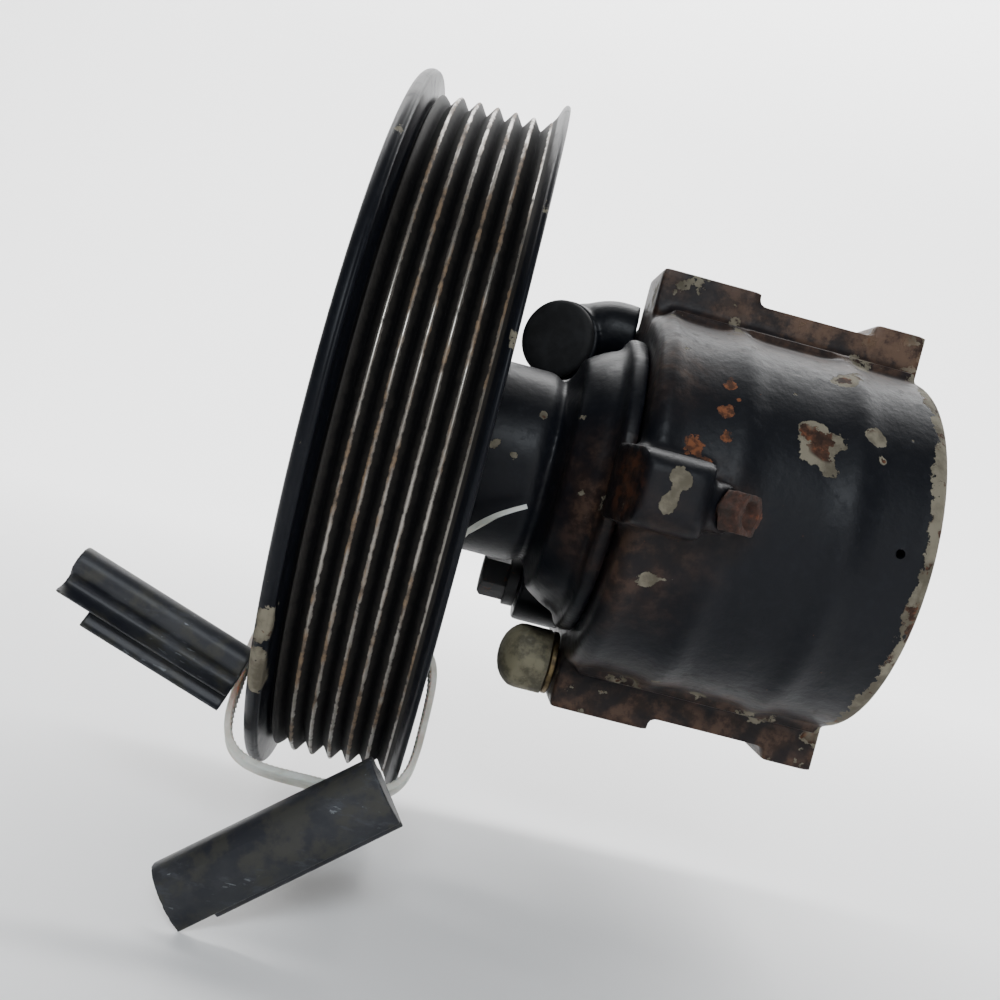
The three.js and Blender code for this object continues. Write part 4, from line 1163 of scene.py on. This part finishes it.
bead = [(3.0 + 2.85 * math.cos(a), 1.2 + 2.85 * math.sin(a))
        for a in np.linspace(-0.3, math.pi * 0.80, 20)]
inside_bead = [(3.0 + 1.75 * math.cos(a), 1.2 + 1.75 * math.sin(a))
               for a in np.linspace(0.1, math.pi * 0.95, 14)]
strip("pressed_strip_left", [
    (5.8, -0.4), *bead, (0.3, 1.7), (-0.2, 1.25), (-0.8, 1.1), (-1.4, 1.25), (-2.0, 1.75),
    (-2.7, 2.5), (-3.4, 3.4), (-3.5, 2.3), (-2.6, 1.0), (-1.8, -0.4)],
      [(4.2, -0.2), (-1.8, -0.2), (-5.2, 0.0), (-5.9, 0.5), (-5.9, -0.7), (-5.2, -1.4),
       (3.6, -1.4)],
      (-49.2, -44.0, -38.3), (-17.6, -44.0, -48.6), (0.15, -1.0, 0.35),
      [*inside_bead, (1.4, -0.8), (4.6, -0.8)], "rail_shoe_2")
low_back = [(5.8, 0.0), (5.5, 0.9), (5.1, 1.6), (4.6, 2.2), (3.9, 2.65), (3.2, 2.9), (2.3, 3.05),
            (1.4, 3.1), (0.3, 3.0), (-0.8, 2.8), (-1.8, 2.5), (-2.8, 2.1), (-3.7, 1.6),
            (-4.5, 1.0), (-5.2, 0.3), (-5.8, -0.4)]
strip("pressed_strip_low", [(5.8, -0.9), *low_back, (-5.4, -1.4)],
      [(4.2, -0.6), (-4.6, -0.8), (-6.1, -1.6), (-6.1, -2.4), (3.6, -2.4)],
      (-17.9, -60.0, -81.0), (11.5, -60.0, -55.9), (0.0, -1.0, 0.58),
      [(u * 0.80, v - 1.15) for u, v in low_back] + [(-4.2, -2.0), (4.6, -2.0)],
      "rail_shoe_1")

# %% [markdown]
# ## The cable tie
# The tie is a flat nylon strap: a loop through one window and round the rim, a square head and
# a tail that tapers to a point. Its inner face has small teeth all along, so a Geometry Nodes
# tree sets one tooth on each point of the loop and turns it to face the middle.

# %% bend the tie and set its teeth
TIE = {"half_x": 17.0, "half_r": 15.6, "squareness": 4, "thick": 1.2, "width": 4.6, "x": -1.4,
       "radial": 60.4}
loop_place = (Matrix.Translation(point(0, 0, 0)) @ Matrix.Rotation(WINDOW_TURN, 4, "X")
              @ Matrix.Translation((TIE["x"] * MM, TIE["radial"] * MM, 0)))
w, t = TIE["width"] / 2, TIE["thick"] / 2
strap = [(w, -t + 0.2), (w, t - 0.2), (w - 0.2, t), (-w + 0.2, t), (-w, t - 0.2), (-w, -t + 0.2),
         (-w + 0.2, -t), (w - 0.2, -t)]
turns = 180


def loop_reach(angle):
    """How far the loop's middle line is from its centre, in mm, in this direction."""
    power = TIE["squareness"]
    return (abs(math.cos(angle) / TIE["half_x"]) ** power
            + abs(math.sin(angle) / TIE["half_r"]) ** power) ** (-1 / power)


verts = []
for k in range(turns):
    angle = 2 * math.pi * k / turns
    verts += [((loop_reach(angle) + v) * math.cos(angle) * MM,
               (loop_reach(angle) + v) * math.sin(angle) * MM, u * MM) for u, v in strap]
n = len(strap)
faces = [(k * n + i, k * n + (i + 1) % n, (k + 1) % turns * n + (i + 1) % n,
          (k + 1) % turns * n + i) for k in range(turns) for i in range(n)]
loop = make("cable_tie_strap", verts, faces)
loop.data.transform(loop_place)
TAIL = [(8.2, -25.7, -38.1), (8.8, -25, -30), (10.6, -22.4, -21), (14.3, -19.5, -15.9),
        (18.5, -21.2, -11.5), (21.5, -22.1, -9.3), (24.4, -22.5, -7.6)]
tail = along_path("tail", TAIL, lambda t: (1.0 - 0.72 * t * t, 0.45), 60,
                  [(1, -1), (1, 1), (-1, 1), (-1, -1)])
head = block("head", 5.0, 11.4, 43.4, 48.6, -3.2, 3.2)
bevelled(head, 0.5)
slotted = block("slot", 5.8, 10.6, 42, 50, -0.8, 0.8)
cut(head, slotted)
head.data.transform(Matrix.Translation(point(0, 0, 0)) @ Matrix.Rotation(WINDOW_TURN, 4, "X")
                    @ Matrix.Translation(-point(0, 0, 0)))
join(loop, tail, head)

teeth, enter, leave = tree_with("tie_teeth", [
    ("Tooth", "NodeSocketVector"), ("Finish", "NodeSocketMaterial")])
tooth = part(teeth, "GeometryNodeMeshCube", {}, {"Size": enter.outputs["Tooth"]})
spot = part(teeth, "GeometryNodeInputPosition", {}, {})
facing = part(teeth, "FunctionNodeAlignEulerToVector", {"axis": "X"}, {"Vector": spot})
copies = part(teeth, "GeometryNodeInstanceOnPoints", {}, {
    "Points": enter.outputs[0], "Instance": tooth, "Rotation": facing})
copies = part(teeth, "GeometryNodeRealizeInstances", {}, {0: copies})
copies = part(teeth, "GeometryNodeSetMaterial", {},
              {0: copies, "Material": enter.outputs["Finish"]})
teeth.links.new(copies, leave.inputs[0])
TEETH = 118
inner = [(angle, loop_reach(angle) - 0.55)
         for angle in (2 * math.pi * (k + 0.5) / TEETH for k in range(TEETH))]
row = make("tie_teeth_row",
           [(r * math.cos(a) * MM, r * math.sin(a) * MM, 0) for a, r in inner], [])
run_tree(row, teeth, {"Tooth": (0.5 * MM, 0.5 * MM, 3.4 * MM), "Finish": FINISH["nylon"]})
row.data.transform(loop_place)
put(loop, "drive_set", FINISH["nylon"], ["cable_tie"])
put(row, "drive_set", None)

# %% [markdown]
# ## Rotors
# Through the two ports the rotors are seen. Each has two lobes whose outline is rolled: a tip
# from a small circle outside the pitch circle, and a waist from the same circle inside it.

# %% roll the rotors
def rotor(name, y, turn, node, body):
    pitch, roll, quarter_steps, clearance = CENTRES / 2, CENTRES / 8, 36, 0.35
    outline = []
    for i in range(quarter_steps * 4):
        t = i / (quarter_steps * 4) * 2 * math.pi
        outward = 1 if (i // quarter_steps) % 2 == 0 else -1
        arm = pitch + outward * roll
        k = arm / roll
        a = arm * math.cos(t) - outward * roll * math.cos(k * t)
        b = arm * math.sin(t) - roll * math.sin(k * t)
        size = math.hypot(a, b)
        angle = math.atan2(b, a) + turn - math.pi / 4
        outline.append((y + (size - clearance) * math.cos(angle),
                        (size - clearance) * math.sin(angle)))
    body_mesh = pushed(name, outline, "x", 49.8, 89.8)
    cut(body_mesh, rod("shaft_hole", 48, 91, 6.3, y))
    return put(body_mesh, body, FINISH["rotor_alloy"], [node])


rotor("drive_rotor_lobes", 0, math.pi / 2, "drive_rotor", "drive_set")
rotor("driven_rotor_lobes", CENTRES, 0, "driven_rotor", "driven_set")

# %% [markdown]
# ## Floor, light and camera
# The floor is level with the lowest strip and curves up behind into a pale backdrop, so the
# dark object stands out. The light is large and soft, mostly from the camera's side and above,
# and gives the three rings of the drum their long pale streaks.

# %% stage
LOWEST = min(v.co.z for o in scene.objects if o.type == "MESH" and not o.hide_render
             for v in o.data.vertices)
sweep = [(-1.6, 0.0), (0.55, 0.0)] + [
    (0.55 + 0.5 * math.sin(a), 0.5 - 0.5 * math.cos(a)) for a in np.linspace(0.1, math.pi / 2, 14)]
sweep += [(1.05, 2.2)]
verts = [(x, y, LOWEST - 0.0003 + z) for x in (-3.0, 3.0) for y, z in sweep]
n = len(sweep)
floor = make("floor", verts, [(i, i + 1, n + i + 1, n + i) for i in range(n - 1)])
smooth(floor, 60)


def floor_finish(place):
    haze = place.noise(3.0, 2.0, 0.5)
    return {"Base Color": haze.mix((0.90, 0.90, 0.90), (0.92, 0.92, 0.92)), "Roughness": 0.9}


floor.data.materials.append(finish("pale_floor", floor_finish))
floor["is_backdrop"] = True

world = bpy.data.worlds.new("studio")
scene.world = world
world.use_nodes = True
world.node_tree.nodes["Background"].inputs[0].default_value = (1.0, 1.0, 1.0, 1.0)
world.node_tree.nodes["Background"].inputs[1].default_value = 0.26


def softbox(name, where, aim, size, power, tint=(1, 1, 1)):
    light = bpy.data.lights.new(name, "AREA")
    light.shape, light.size, light.size_y = "RECTANGLE", size[0], size[1]
    light.energy, light.color = power, tint
    lamp = bpy.data.objects.new(name, light)
    lamp.location = where
    lamp.rotation_euler = (Vector(aim) - Vector(where)).to_track_quat("-Z", "Y").to_euler()
    scene.collection.objects.link(lamp)


MIDDLE = (-0.05, 0.0, 0.0)
softbox("key", (-0.10, -0.75, 0.42), MIDDLE, (0.26, 0.16), 4.6, (0.88, 0.94, 1.0))
softbox("front", (0.25, -0.95, 0.05), MIDDLE, (0.16, 0.6), 1.6)
softbox("top", (0.1, 0.30, 0.95), MIDDLE, (0.7, 0.7), 1.6)
softbox("backdrop", (0.0, 0.62, 0.95), (0.0, 1.05, 0.05), (2.2, 0.25), 44.0)

# %% [markdown]
# The camera looks at the side with the lug, close and slightly turned, and is rolled so that
# the shaft runs down to the right.

# %% camera
EYE = Vector((-0.08947, -0.2457, -0.00259))
YAW, ROLL, TILT = (math.radians(a) for a in (2.64, 14.70, -1.32))
SENSOR, FOCAL = 36.0, 42.372      # mm
ahead = Vector((math.sin(YAW) * math.cos(TILT), math.cos(YAW) * math.cos(TILT), math.sin(TILT)))
level = Vector((math.cos(YAW), -math.sin(YAW), 0.0))
over = level.cross(ahead)
up = math.cos(ROLL) * over - math.sin(ROLL) * level
across = ahead.cross(up)
lens = bpy.data.cameras.new("camera")
lens.sensor_width, lens.lens = SENSOR, FOCAL
lens.clip_start, lens.clip_end = 0.01, 20.0
camera = bpy.data.objects.new("camera", lens)
camera.matrix_world = Matrix.Translation(EYE) @ Matrix((across, up, -ahead)).transposed().to_4x4()
scene.collection.objects.link(camera)
scene.camera = camera

# %% print the sizes and finish
SHOWN_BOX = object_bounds()
for title, box in (("CAD", CAD_BOX), ("shown", SHOWN_BOX)):
    print(title, "box, mm:", [round(v / MM, 2) for corner in box for v in corner])
